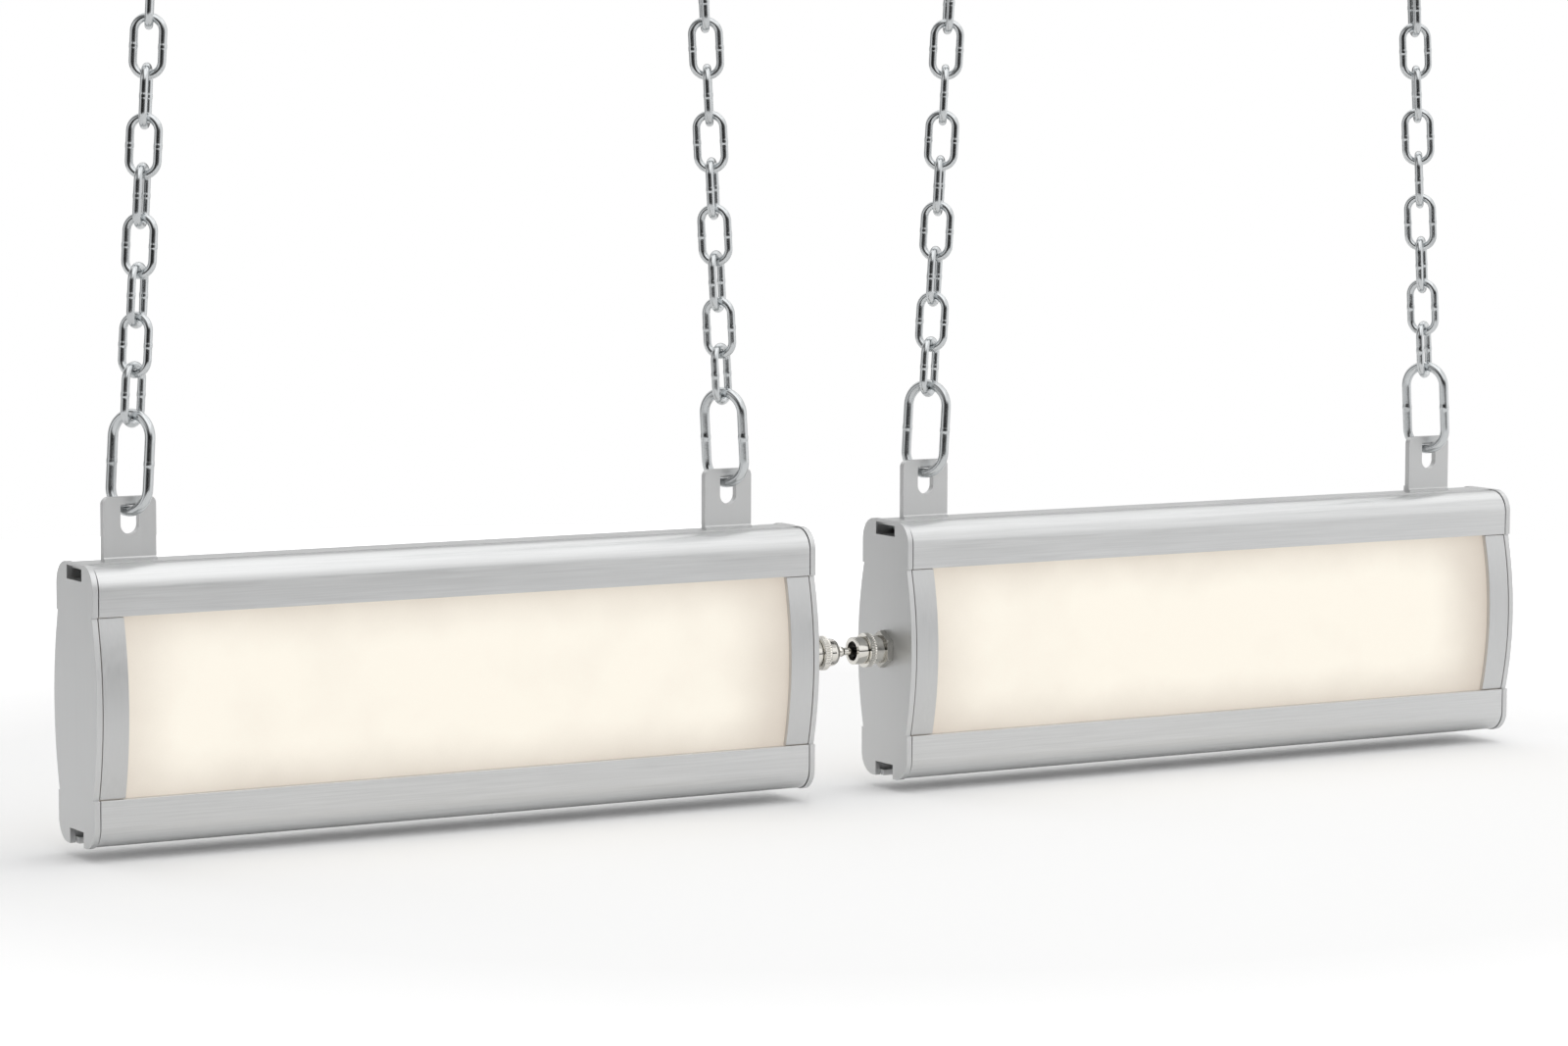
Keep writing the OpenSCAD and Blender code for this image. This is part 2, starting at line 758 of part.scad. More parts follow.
module plug_ball_pin() {
  color(nickel) at_plug() {
    translate([ball_x, 0, 0]) sphere(d = ball_d);
    rod_x(ball_x, stem_tip, stem_d);
    translate([stem_tip, 0, 0]) sphere(d = stem_d);
  }
}

module socket_shell(ring_x, ring_w, length) {
  color(nickel) difference() {
    union() {
      rod_x(-end_plate_t - rear_body_l, ring_x, barrel_d);
      rod_x(ring_x - through, ring_x + ring_w + through, neck_d);
      rod_x(ring_x + ring_w, length, barrel_d);
    }
    rod_x(length - mouth_depth, length + through, mouth_d);
  }
}

contact_d = 1.2;
contact_l = 2.5;
contact_circle = 8.8;
contacts = 4;

// Insulator disc on the floor of the mouth with its contact pins
module contact_insert(floor_x) {
  disc_t = 1;
  color(black) {
    rod_x(floor_x, floor_x + disc_t, mouth_d - 2 * slip);
    for (k = [0:contacts - 1]) rotate([45 + k * 360 / contacts, 0, 0])
      translate([0, 0, contact_circle / 2]) rod_x(floor_x + disc_t / 2, floor_x + contact_l, contact_d);
  }
}

inlet_bore_l = 9;

module supply_inlet() {
  at_inlet() {
    color(nickel) difference() {
      union() {
        rod_x(-end_plate_t - rear_body_l, inlet_l, barrel_d);
        rotate([0, 90, 0]) cylinder(h = nut_t, d = nut_flats / cos(30), $fn = 6);
      }
      rod_x(inlet_l - inlet_bore_l, inlet_l + through, mouth_d);
    }
  }
}

// ---- assembly ----

ceiling_plates();
ceiling_hooks();
top_links();
chain_run(0);  // chain_run_1
chain_run(1);  // chain_run_2
chain_run(2);  // chain_run_3
chain_run(3);  // chain_run_4
large_links(LEFT);  // left_large_links
large_links(RIGHT);  // right_large_links
top_channel(LEFT);  // left_top_channel
bottom_channel(LEFT);  // left_bottom_channel
rail(LEFT, FRONT, true);  // left_front_top_rail
rail(LEFT, FRONT, false);  // left_front_bottom_rail
rail(LEFT, REAR, true);  // left_rear_top_rail
rail(LEFT, REAR, false);  // left_rear_bottom_rail
at_left_end(LEFT) end_plate(false);  // left_outer_end_plate
at_right_end(LEFT) end_plate(true);  // left_inner_end_plate
diffuser(LEFT, FRONT);  // left_front_diffuser
diffuser(LEFT, REAR);  // left_rear_diffuser
window_bezels(LEFT);  // left_window_bezels
web_plate(LEFT);  // left_web_plate
light_boards(LEFT);  // left_light_boards
light_emitters(LEFT);  // left_emitters
driver(LEFT);  // left_driver
diffuser_seals(LEFT);  // left_diffuser_seals
end_plate_pins(LEFT);  // left_end_plate_pins
hanger_brackets(LEFT);  // left_hanger_brackets
bracket_screws(LEFT);  // left_bracket_screws
nut_bars(LEFT);  // left_nut_bars
wiring(LEFT);  // left_wiring
top_channel(RIGHT);  // right_top_channel
bottom_channel(RIGHT);  // right_bottom_channel
rail(RIGHT, FRONT, true);  // right_front_top_rail
rail(RIGHT, FRONT, false);  // right_front_bottom_rail
rail(RIGHT, REAR, true);  // right_rear_top_rail
rail(RIGHT, REAR, false);  // right_rear_bottom_rail
at_left_end(RIGHT) end_plate(true);  // right_inner_end_plate
at_right_end(RIGHT) end_plate(true);  // right_outer_end_plate
diffuser(RIGHT, FRONT);  // right_front_diffuser
diffuser(RIGHT, REAR);  // right_rear_diffuser
window_bezels(RIGHT);  // right_window_bezels
web_plate(RIGHT);  // right_web_plate
light_boards(RIGHT);  // right_light_boards
light_emitters(RIGHT);  // right_emitters
driver(RIGHT);  // right_driver
diffuser_seals(RIGHT);  // right_diffuser_seals
end_plate_pins(RIGHT);  // right_end_plate_pins
hanger_brackets(RIGHT);  // right_hanger_brackets
bracket_screws(RIGHT);  // right_bracket_screws
nut_bars(RIGHT);  // right_nut_bars
wiring(RIGHT);  // right_wiring
at_plug() hexagon_nut();  // plug_nut
plug_body();
at_plug() coupling_ring(plug_ring_x, plug_ring_w);  // plug_coupling_ring
plug_ball_pin();
at_socket() hexagon_nut();  // socket_nut
at_socket() socket_shell(socket_ring_x, socket_ring_w, socket_l);  // socket_body
at_socket() coupling_ring(socket_ring_x, socket_ring_w);  // socket_coupling_ring
at_socket() contact_insert(socket_l - mouth_depth);  // socket_contacts
supply_inlet();
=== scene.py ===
"""Looks of the hanging shop light: two aluminium modules on welded chains, joined by a round plug.

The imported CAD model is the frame. Sheet metal and rails are copies of their CAD nodes with softened edges.
Links, hooks, diffusers and turned connector parts are new surfaces worked out with numpy.
Lengths in this file are in millimetres, unless a name says otherwise, and meshes are in metres.
"""

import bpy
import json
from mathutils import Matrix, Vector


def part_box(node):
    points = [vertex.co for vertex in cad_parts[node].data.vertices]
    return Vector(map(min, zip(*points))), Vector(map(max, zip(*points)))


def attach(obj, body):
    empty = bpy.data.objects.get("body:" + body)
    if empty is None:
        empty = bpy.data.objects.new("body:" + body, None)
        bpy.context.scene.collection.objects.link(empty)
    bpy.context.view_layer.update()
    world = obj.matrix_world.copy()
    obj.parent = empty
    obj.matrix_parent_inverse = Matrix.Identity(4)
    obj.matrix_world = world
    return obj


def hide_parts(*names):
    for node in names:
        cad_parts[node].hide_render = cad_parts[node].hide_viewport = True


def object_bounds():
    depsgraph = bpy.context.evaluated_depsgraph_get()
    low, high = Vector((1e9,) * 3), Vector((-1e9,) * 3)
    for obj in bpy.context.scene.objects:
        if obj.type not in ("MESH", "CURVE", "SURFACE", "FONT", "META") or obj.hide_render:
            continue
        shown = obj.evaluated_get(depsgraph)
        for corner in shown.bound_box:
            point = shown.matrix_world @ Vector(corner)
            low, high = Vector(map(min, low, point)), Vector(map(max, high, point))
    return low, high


bl_info = {
    "name": "Hanging Shop Light",
    "version": (1, 0, 0),
    "blender": (4, 5, 0),
    "location": "3D View > Sidebar > Shop Light",
    "description": "Builds the finishes and the fine pieces of a hanging twin shop light",
    "category": "Add Mesh",
}

import json
import math

import bmesh
import bpy
import numpy as np
from mathutils import Matrix, Vector

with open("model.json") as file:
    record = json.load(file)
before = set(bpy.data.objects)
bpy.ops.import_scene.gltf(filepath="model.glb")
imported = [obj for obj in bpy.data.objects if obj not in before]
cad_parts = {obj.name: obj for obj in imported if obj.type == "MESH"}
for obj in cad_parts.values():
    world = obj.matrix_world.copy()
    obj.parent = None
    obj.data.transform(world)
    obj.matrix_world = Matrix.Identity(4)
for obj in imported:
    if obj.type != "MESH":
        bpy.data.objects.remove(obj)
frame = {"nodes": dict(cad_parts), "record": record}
CAD_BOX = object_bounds()
NODE_BODY = {n: body for body, nodes in frame["record"]["behaviour"]["bodies"].items() for n in nodes}

MM = 0.001
SIDES = ("left", "right")

# ---- sizes in mm and angles in degrees ----

# windows
BOW_RISE = 6.2
DIFFUSER_T = 2.0
BEZEL_T = 3.0
DIFFUSER_LENGTH = 431.4
DIFFUSER_HEIGHT = 96.6

# chains: a link's size is its length, width and wire; BEAD_EDGE is how sharply a weld bead ends
TAB_X = (-430.25, -67.25, 64.25, 430.25)
HOOK_X = (-412.809, -84.691, 81.691, 412.809)
LEAN = (3.2, -3.2, 3.2, -3.2)
LOW_WIRE_Z = -334.013
SMALL_LINKS = 10
SMALL_LINK = (35.2, 19.6, 4.4)
BIG_LINK = (57.0, 30.0, 5.5)
LINK_GAP = 0.25
BIG_TURN = 60.0
LINK_TWIST = 4.0
LINK_PITCH = SMALL_LINK[0] - 2 * SMALL_LINK[2] - LINK_GAP
FIRST_SMALL = BIG_LINK[0] - BIG_LINK[2] - (BIG_LINK[2] + SMALL_LINK[2]) / 2 - LINK_GAP
BEAD_LENGTH = 2.4
BEAD_PROUD = 0.18
BEAD_EDGE = 6
LEG_CROWDING = 1.7
FAR = 1000.0

# ceiling plates and hooks
PLATE_T = 3.0
HOOK_WIRE = 5.0
HOOK_R = 9.0
HOOK_NECK = 6.0
ELBOW_RISE = 2.2
ELBOW_CORNER = (0.35, -0.1)
RING_START = 68.0
TIP_START = 0.3
TIP_STEPS = 5

# plug and socket: places along X are measured outwards from each module's end face
END_PLATE_T = 3.3
CONNECTOR_Z = -435.013
PLUG_FACE_X = -23.25
SOCKET_FACE_X = 38.25
BARREL_R = 7.9
NECK_R = 6.0
RING_R = 9.9
REAR_BODY = 9.0
RING_SLACK = 0.2
GROOVES = 40
GROOVE_DEPTH = 0.45
RIM_BEVEL = 0.3
RIM_PLAIN = 0.5
RIM_FULL = 0.9
RIM_LINES = 0.8
BORE_SLACK = 0.05
PLUG_RING = (16.0, 21.0)
PLUG_SLEEVE_END = 27.0
PLUG_CONE = (2.2, 3.5)
BALL_R = 3.0
BALL_SINK = 0.8
STEM_R = 2.2
STEM_END = 41.2
SOCKET_RING = (10.4, 15.0)
SOCKET_END = 22.0
MOUTH_R = 5.5
MOUTH_DEPTH = 5.5
TURNED_EDGE = 0.4
SLEEVE_CURVE = 2.2
CONE_EDGE = 0.5
DISC_T = 1.0
DISC_SLACK = 0.1
DISC_EDGE = 0.15
CONTACTS = 4
CONTACT_R = 0.6
CONTACT_L = 2.5
CONTACT_CIRCLE_R = 4.4
FIRST_CONTACT = 45.0

# ---- how meshes are merged (in metres) and shaded ----

MERGE = 1e-7
CAD_MERGE = 2e-6
FLAT_ANGLE = math.radians(0.6)
SHARP_ANGLE = math.radians(32)
CORNER_STEPS = 4
CORNER_SHARE = 0.45
GUARD = 1.1


# ---- settings ----


class ShopLightFinish(bpy.types.PropertyGroup):
    """Colours and gloss of the metals and the diffuser"""

    aluminium: bpy.props.FloatVectorProperty(
        name="Aluminium", description="Colour of the brushed rails, plates and brackets",
        subtype="COLOR", size=3, min=0, max=1, default=(0.69, 0.695, 0.695))
    zinc: bpy.props.FloatVectorProperty(
        name="Zinc", description="Colour of the plated chains and ceiling fittings",
        subtype="COLOR", size=3, min=0, max=1, default=(0.61, 0.63, 0.64))
    nickel: bpy.props.FloatVectorProperty(
        name="Nickel", description="Colour of the plated connector bodies",
        subtype="COLOR", size=3, min=0, max=1, default=(0.78, 0.76, 0.71))
    glow: bpy.props.FloatVectorProperty(
        name="Glow", description="Colour of the light in the middle of a diffuser",
        subtype="COLOR", size=3, min=0, max=1, default=(0.805, 0.755, 0.66))
    # Glow colour in the painted edge shade of a diffuser, where the rails and bezels shade the glow.
    glow_in_edge_shade: bpy.props.FloatVectorProperty(
        name="Glow at the edge", description="Colour of the light along the edges of a diffuser",
        subtype="COLOR", size=3, min=0, max=1, default=(0.50, 0.435, 0.37))
    glow_level: bpy.props.FloatProperty(
        name="Glow level", description="Strength of the light from the diffusers",
        min=0, max=4, default=1.0)
    edge_radius: bpy.props.FloatProperty(
        name="Edge radius", description="Softening of the sheet metal edges",
        subtype="DISTANCE", min=0.0001, max=0.001, default=0.0003)


class ShopLightChain(bpy.types.PropertyGroup):
    """Fineness of the links"""

    stations: bpy.props.IntProperty(
        name="Stations", description="Sections along each half turn of a link", min=8, max=64, default=26)
    section: bpy.props.IntProperty(
        name="Section", description="Points round the wire of a link", min=8, max=48, default=20)
    bead_proud: bpy.props.FloatProperty(
        name="Weld bead", description="Height of the weld bead over the wire",
        subtype="DISTANCE", min=0, max=0.001, default=BEAD_PROUD * MM)


class ShopLightStudio(bpy.types.PropertyGroup):
    """Floor, lamps and camera"""

    floor_gap: bpy.props.FloatProperty(
        name="Floor gap", description="Distance from the modules down to the floor",
        subtype="DISTANCE", min=0.001, max=1, default=0.007)
    soft_box: bpy.props.FloatProperty(
        name="Soft box", description="Strength of the overhead soft box",
        unit="POWER", min=0, max=200, default=7.0)
    focal_length: bpy.props.FloatProperty(
        name="Focal length", description="Camera lens on a 36 mm sensor",
        unit="CAMERA", min=20, max=300, default=110.1)


# ---- meshes ----


def mesh_object(name, points, faces, uv=None):
    """A smooth mesh object from points in mm, faces and one UV pair for each face corner."""
    mesh = bpy.data.meshes.new(name)
    mesh.from_pydata((points.reshape(-1, 3) * MM).tolist(), [], faces.tolist())
    if uv is not None:
        layer = mesh.uv_layers.new(name="UVMap")
        layer.data.foreach_set("uv", uv.astype(np.float32).ravel())
    obj = bpy.data.objects.new(name, mesh)
    bpy.context.scene.collection.objects.link(obj)
    return obj


def grid(name, points, closed_u=False, closed_v=False):
    """A surface through a (u, v) grid of points: a quad between rows i, i+1 and columns j, j+1.

    A closed direction runs from the last row or column back to the first. Rows that shrink to one point,
    and edges that meet, are merged, and the faces are turned outwards.
    """
    nu, nv = points.shape[:2]
    spans = nu if closed_u else nu - 1, nv if closed_v else nv - 1
    i, j = np.meshgrid(np.arange(spans[0]), np.arange(spans[1]), indexing="ij")
    corners = [(i, j), (i + 1, j), (i + 1, j + 1), (i, j + 1)]
    faces = np.stack([(a % nu) * nv + b % nv for a, b in corners], -1).reshape(-1, 4)
    uv = np.stack([np.stack([a / spans[0], b / spans[1]], -1) for a, b in corners], 2).reshape(-1, 2)
    obj = mesh_object(name, points, faces, uv)
    tidy(obj.data)
    return obj


def tidy(mesh):
    """Merges doubled points, turns faces outwards and marks the sharp edges."""
    work = bmesh.new()
    work.from_mesh(mesh)
    bmesh.ops.remove_doubles(work, verts=work.verts, dist=MERGE)
    bmesh.ops.recalc_face_normals(work, faces=work.faces)
    mark_edges(work)
    work.to_mesh(mesh)
    work.free()


def mark_edges(work):
    """Shades all faces smooth and leaves only edges over SHARP_ANGLE sharp."""
    for face in work.faces:
        face.smooth = True
    for edge in work.edges:
        edge.smooth = len(edge.link_faces) == 2 and edge.calc_face_angle(0) < SHARP_ANGLE


def joined(name, parts):
    """One object from several, which are used up."""
    first = parts[0]
    chosen = {"active_object": first, "selected_editable_objects": parts, "selected_objects": parts}
    with bpy.context.temp_override(**chosen):
        bpy.ops.object.join()
    first.name = first.data.name = name
    return first


def softened_copy(node, name, radius, segments=2):
    """A CAD node's surface with flat faces made whole and its sharp edges rounded by a bevel."""
    mesh = frame["nodes"][node].data.copy()
    mesh.name = name
    mesh.materials.clear()
    work = bmesh.new()
    work.from_mesh(mesh)
    bmesh.ops.remove_doubles(work, verts=work.verts, dist=CAD_MERGE)
    bmesh.ops.dissolve_limit(work, angle_limit=FLAT_ANGLE, verts=work.verts, edges=work.edges)
    mark_edges(work)
    work.to_mesh(mesh)
    work.free()
    obj = bpy.data.objects.new(name, mesh)
    bpy.context.scene.collection.objects.link(obj)
    bevel = obj.modifiers.new("Soft edges", "BEVEL")
    bevel.width = radius
    bevel.segments = segments
    bevel.limit_method = "ANGLE"
    bevel.angle_limit = SHARP_ANGLE
    bevel.harden_normals = True
    bevel.use_clamp_overlap = True
    return obj


def show(obj, node, slot, *materials):
    """obj stands for the CAD node, rides on its body and wears the materials."""
    obj.data.materials.clear()
    for material in materials:
        obj.data.materials.append(material)
    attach(obj, NODE_BODY[node])
    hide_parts(node)
    return obj


def dress(node, material):
    """Gives a CAD node that stays the material."""
    obj = frame["nodes"][node]
    for slot in obj.material_slots:
        slot.material = material


def soft_profile(corners, radius):
    """A profile with rounded inner corners: each is a parabola from radius before it to radius after it.

    radius is one number, or one for each inner corner. A point just outside each end of the parabola
    keeps the shading of the straight parts straight.
    """
    p = np.array(corners, float)
    before, at, after = p[:-2], p[1:-1], p[2:]
    back, ahead = before - at, after - at
    back_length = np.linalg.norm(back, axis=1, keepdims=True)
    ahead_length = np.linalg.norm(ahead, axis=1, keepdims=True)
    reach = np.minimum(np.reshape(radius, (-1, 1)), CORNER_SHARE * np.minimum(back_length, ahead_length))
    start = at + back / back_length * reach
    end = at + ahead / ahead_length * reach
    t = np.linspace(0, 1, CORNER_STEPS)[None, :, None]
    curve = (1 - t) ** 2 * start[:, None] + 2 * t * (1 - t) * at[:, None] + t**2 * end[:, None]
    guards = at + GUARD * (start - at), at + GUARD * (end - at)
    curve = np.concatenate([guards[0], curve.reshape(len(at), -1), guards[1]], axis=1)
    return np.vstack([p[:1], curve.reshape(-1, 2), p[-1:]])


def turned(name, profile, face_x, outwards, steps=96, carve=None):
    """A profile (x, r) turned about the connector's axis: (face + x, r cos v, r sin v).

    outwards is 1 or -1, for a connector that points to +X or -X. carve(x, v) is how far the surface lies
    inside the profile's radius.
    """
    x, r = np.array(profile, float).T
    v = np.linspace(0, 2 * math.pi, steps, endpoint=False)
    radius = np.repeat(r[:, None], steps, 1)
    if carve is not None:
        radius = radius - carve(x[:, None], v[None, :], radius)
    place = face_x + outwards * np.repeat(x[:, None], steps, 1)
    points = np.stack([place, radius * np.cos(v), CONNECTOR_Z + radius * np.sin(v)], -1)
    return grid(name, points, closed_v=True)


def oval_link(length, width, wire, stations, section, bead):
    """An oval link in the XZ plane, its lower wire centred on the origin, as a (u, v) grid of points in mm.

    The centreline is a half circle below, a leg up, a half circle above and a leg down. Round it, the
    wire's section is (cos v along the outward normal, sin v along Y) times the wire's radius, and the
    radius swells by bead / (1 + (2 d / bead length) ** 6) at distance d from the middle of each leg.
    """
    a = (width - wire) / 2
    leg = length - wire - 2 * a
    turn = np.linspace(math.pi, 2 * math.pi, stations, endpoint=False)
    q = np.linspace(-1, 1, stations, endpoint=False)
    t = 0.5 + 0.5 * np.sign(q) * np.abs(q) ** LEG_CROWDING
    ones, zeros = np.ones(stations), np.zeros(stations)
    nx = np.concatenate([np.cos(turn), ones, np.cos(turn - math.pi), -ones])
    nz = np.concatenate([np.sin(turn), zeros, np.sin(turn - math.pi), zeros])
    rise = np.concatenate([zeros, t * leg, leg * ones, (1 - t) * leg])
    away = np.concatenate([FAR * ones, (t - 0.5) * leg, FAR * ones, (t - 0.5) * leg])
    radius = wire / 2 + bead / (1 + (2 * away / BEAD_LENGTH) ** BEAD_EDGE)
    v = np.linspace(0, 2 * math.pi, section, endpoint=False)
    out = a + radius[:, None] * np.cos(v)
    x = nx[:, None] * out
    z = a + rise[:, None] + nz[:, None] * out
    return np.stack([x, radius[:, None] * np.sin(v), z], -1)


def placed(points, matrix):
    """Points in mm moved by a 4 x 4 matrix in mm."""
    m = np.array(matrix)
    return points @ m[:3, :3].T + m[:3, 3]


def chain_line(n):
    """The leaning line of chain n, with its zero at the large link's lower wire."""
    return Matrix.Translation((TAB_X[n], 0, LOW_WIRE_Z)) @ Matrix.Rotation(math.radians(LEAN[n]), 4, "Y")


def link_angle(j):
    """Turn of link j about the chain line: quarter turns with a little twist."""
    return math.radians(BIG_TURN - (90 + LINK_TWIST) * j)


def link_place(n, j):
    """Where link j of chain n hangs: 0 is the large link and SMALL_LINKS the one in the hook."""
    height = 0 if j == 0 else FIRST_SMALL + (j - 1) * LINK_PITCH
    return chain_line(n) @ Matrix.Translation((0, 0, height)) @ Matrix.Rotation(-link_angle(j), 4, "Z")


def links(name, places, size):
    """One object with a link of the size (length, width, wire) at each place (chain, link)."""
    chain = bpy.context.scene.shop_light_chain
    shape = oval_link(*size, chain.stations, chain.section, chain.bead_proud / MM)
    parts = [grid(f"{name}_{n}_{j}", placed(shape, link_place(n, j)), True, True) for n, j in places]
    return joined(name, parts)


# ---- materials ----


class Nodes:
    """A new material's node tree, with short calls to add and link its nodes."""

    def __init__(self, name):
        self.material = bpy.data.materials.new(name)
        self.material.use_nodes = True
        self.tree = self.material.node_tree
        self.shader = self.tree.nodes["Principled BSDF"]

    def add(self, kind, **settings):
        """A node of that kind: capital settings are values of its inputs, the rest are attributes."""
        node = self.tree.nodes.new(kind)
        for key, value in settings.items():
            if key[0].isupper():
                node.inputs[key.replace("_", " ")].default_value = value
            else:
                setattr(node, key, value)
        return node

    def link(self, source, target):
        self.tree.links.new(source, target)

    def object_noise(self, scale, detail=3.0, roughness=0.5):
        """Noise on Object coordinates in metres, with its own scale along each axis, per metre."""
        place = self.add("ShaderNodeTexCoord")
        mapping = self.add("ShaderNodeMapping")
        mapping.inputs["Scale"].default_value = scale
        noise = self.add("ShaderNodeTexNoise", Scale=1.0, Detail=detail, Roughness=roughness)
        self.link(place.outputs["Object"], mapping.inputs["Vector"])
        self.link(mapping.outputs["Vector"], noise.inputs["Vector"])
        return noise.outputs["Fac"]

    def between(self, factor, low, high, from_low=0.0, from_high=1.0, kind="LINEAR"):
        """A number that goes from low to high with the factor."""
        span = self.add("ShaderNodeMapRange", interpolation_type=kind)
        span.inputs["From Min"].default_value = from_low
        span.inputs["From Max"].default_value = from_high
        span.inputs["To Min"].default_value = low
        span.inputs["To Max"].default_value = high
        self.link(factor, span.inputs["Value"])
        return span.outputs["Result"]

    def times(self, first, second):
        """The product of two sockets."""
        product = self.add("ShaderNodeMath", operation="MULTIPLY")
        self.link(first, product.inputs[0])
        self.link(second, product.inputs[1])
        return product.outputs[0]

    def mix(self, factor, first, second):
        """A colour that goes from first to second with the factor; either may be a colour or a socket."""
        mixer = self.add("ShaderNodeMix", data_type="RGBA")
        self.link(factor, mixer.inputs["Factor"])
        for socket, colour in (("A", first), ("B", second)):
            target = [s for s in mixer.inputs if s.name == socket and s.type == "RGBA"][0]
            if isinstance(colour, bpy.types.NodeSocket):
                self.link(colour, target)
            else:
                target.default_value = (*colour, 1)
        return [s for s in mixer.outputs if s.type == "RGBA"][0]

    def bump(self, height, strength, distance):
        """Surface relief from a height, in metres."""
        bump = self.add("ShaderNodeBump", Strength=strength, Distance=distance)
        self.link(height, bump.inputs["Height"])
        self.link(bump.outputs["Normal"], self.shader.inputs["Normal"])


    def even(self, **values):
        """Sets inputs of the shader that are the same all over the surface."""
        for name, value in values.items():
            self.shader.inputs[name.replace("_", " ")].default_value = value


def tint(colour, factor):
    """A colour made lighter or darker."""
    return tuple(min(1.0, c * factor) for c in colour)


STREAKS = {"X": (22, 1100, 1100), "Z": (1100, 1100, 22)}
BANDS = {"X": (3, 260, 260), "Z": (260, 260, 5)}
PATCHES = (9, 9, 9)
STREAK_RELIEF = 0.25
WIRE_CLOUDS = (70, 70, 25)
WIRE_GRAIN = (1400, 1400, 300)
MOULD_GRAIN = (500, 500, 500)
MOULD_MOTTLE = (25, 25, 25)
GLOW_CLOUDS = (22, 22, 22)
GLOW_DRIFT = 0.10
FROST = (1400, 1400, 1400)
FROST_COLOURS = ((0.20, 0.195, 0.18), (0.24, 0.235, 0.22))


def brushed_metal(name, colour, along, roughness=0.34, streaks=0.06):
    """Brushed aluminium: fine streaks along X or Z, broad bands and a few lighter patches."""
    nodes = Nodes(name)
    streak = nodes.object_noise(STREAKS[along], detail=2.0, roughness=0.6)
    band = nodes.object_noise(BANDS[along], detail=2.0)
    patch = nodes.object_noise(PATCHES, detail=2.0)
    dark, light = tint(colour, 1 - streaks), tint(colour, 1 + streaks)
    shade = nodes.mix(nodes.between(streak, 0, 1, 0.25, 0.75), dark, light)
    banded = nodes.mix(nodes.between(band, 0, 0.45, 0.3, 0.7), shade, tint(colour, 1 - 0.5 * streaks))
    final = nodes.mix(nodes.between(patch, 0, 0.25, 0.35, 0.75), banded, tint(colour, 1.05))
    gloss = nodes.between(streak, roughness - 0.05, roughness + 0.08, 0.3, 0.7)
    nodes.link(final, nodes.shader.inputs["Base Color"])
    nodes.link(gloss, nodes.shader.inputs["Roughness"])
    nodes.even(Metallic=1.0)
    nodes.bump(streak, STREAK_RELIEF, 0.00004)
    return nodes.material


def plated_steel(name, colour, roughness, dull=0.8):
    """Plated steel wire or sheet: bright, with a few duller patches and faint drawing marks."""
    nodes = Nodes(name)
    cloud = nodes.object_noise(WIRE_CLOUDS, detail=2.0)
    grain = nodes.object_noise(WIRE_GRAIN, detail=1.0)
    bright = nodes.mix(nodes.between(grain, 0, 1, 0.3, 0.7), tint(colour, 0.97), tint(colour, 1.03))
    final = nodes.mix(nodes.between(cloud, 0, 1, 0.5, 0.8), bright, tint(colour, dull))
    gloss = nodes.between(cloud, roughness, roughness + 0.08, 0.4, 0.75)
    nodes.link(final, nodes.shader.inputs["Base Color"])
    nodes.link(gloss, nodes.shader.inputs["Roughness"])
    nodes.even(Metallic=1.0)
    nodes.bump(grain, 0.04, 0.00004)
    return nodes.material


def moulded(name, colour, roughness):
    """Moulded plastic, rubber or lacquer: an even colour with a fine grain and faint mottling."""
    nodes = Nodes(name)
    speck = nodes.object_noise(MOULD_GRAIN)
    mottle = nodes.object_noise(MOULD_MOTTLE, detail=2.0)
    shade = nodes.mix(mottle, tint(colour, 0.94), tint(colour, 1.05))
    nodes.link(shade, nodes.shader.inputs["Base Color"])
    nodes.link(nodes.between(speck, roughness - 0.05, roughness + 0.07), nodes.shader.inputs["Roughness"])
    nodes.bump(speck, 0.2, 0.00005)
    return nodes.material


def glowing_diffuser(name, finish):
    """A frosted sheet lit from behind: cream in the middle, browner near each edge.

    The distance to each window edge, in mm from the sheet's own UV map, sets how far the glow has come
    up to its full colour; the browner, dimmer edge is painted shade, where the rails and bezels shade the
    glow.
    """
    nodes = Nodes(name)
    place = nodes.add("ShaderNodeTexCoord")
    parts = nodes.add("ShaderNodeSeparateXYZ")
    nodes.link(place.outputs["UV"], parts.inputs["Vector"])
    clear_of_edge_shade = None
    # Painted shade: the glow fades towards each window edge, as if shaded by the rails and bezels.
    for socket, size, fade in GLOW_EDGE_SHADE:
        rise = nodes.between(parts.outputs[socket], 0, 1, fade[0] / size, fade[1] / size, "SMOOTHSTEP")
        clear_of_edge_shade = rise if clear_of_edge_shade is None else nodes.times(clear_of_edge_shade, rise)
    cloud = nodes.object_noise(GLOW_CLOUDS)
    drift = nodes.between(cloud, -GLOW_DRIFT, GLOW_DRIFT, 0.3, 0.7)
    level = nodes.add("ShaderNodeMath", operation="ADD", use_clamp=True)
    nodes.link(clear_of_edge_shade, level.inputs[0])
    nodes.link(drift, level.inputs[1])
    glow = nodes.mix(level.outputs[0], tuple(finish.glow_in_edge_shade), tuple(finish.glow))
    nodes.link(glow, nodes.shader.inputs["Emission Color"])
    frost = nodes.object_noise(FROST, detail=2.0)
    nodes.link(nodes.mix(frost, *FROST_COLOURS), nodes.shader.inputs["Base Color"])
    nodes.even(Emission_Strength=finish.glow_level, Roughness=0.55, Specular_IOR_Level=0.2)
    nodes.bump(frost, 0.1, 0.00003)
    return nodes.material


# Painted edge shade of the glow: the UV axis, the window's size along it, and where the fade starts and ends
# in mm.
GLOW_EDGE_SHADE = (
    ("X", DIFFUSER_LENGTH, (-18, 60)),
    ("X", DIFFUSER_LENGTH, (DIFFUSER_LENGTH - 1, DIFFUSER_LENGTH - 65)),
    ("Y", DIFFUSER_HEIGHT, (-17, 28)),
    ("Y", DIFFUSER_HEIGHT, (DIFFUSER_HEIGHT + 22, DIFFUSER_HEIGHT - 28)),
)


# ---- pieces ----


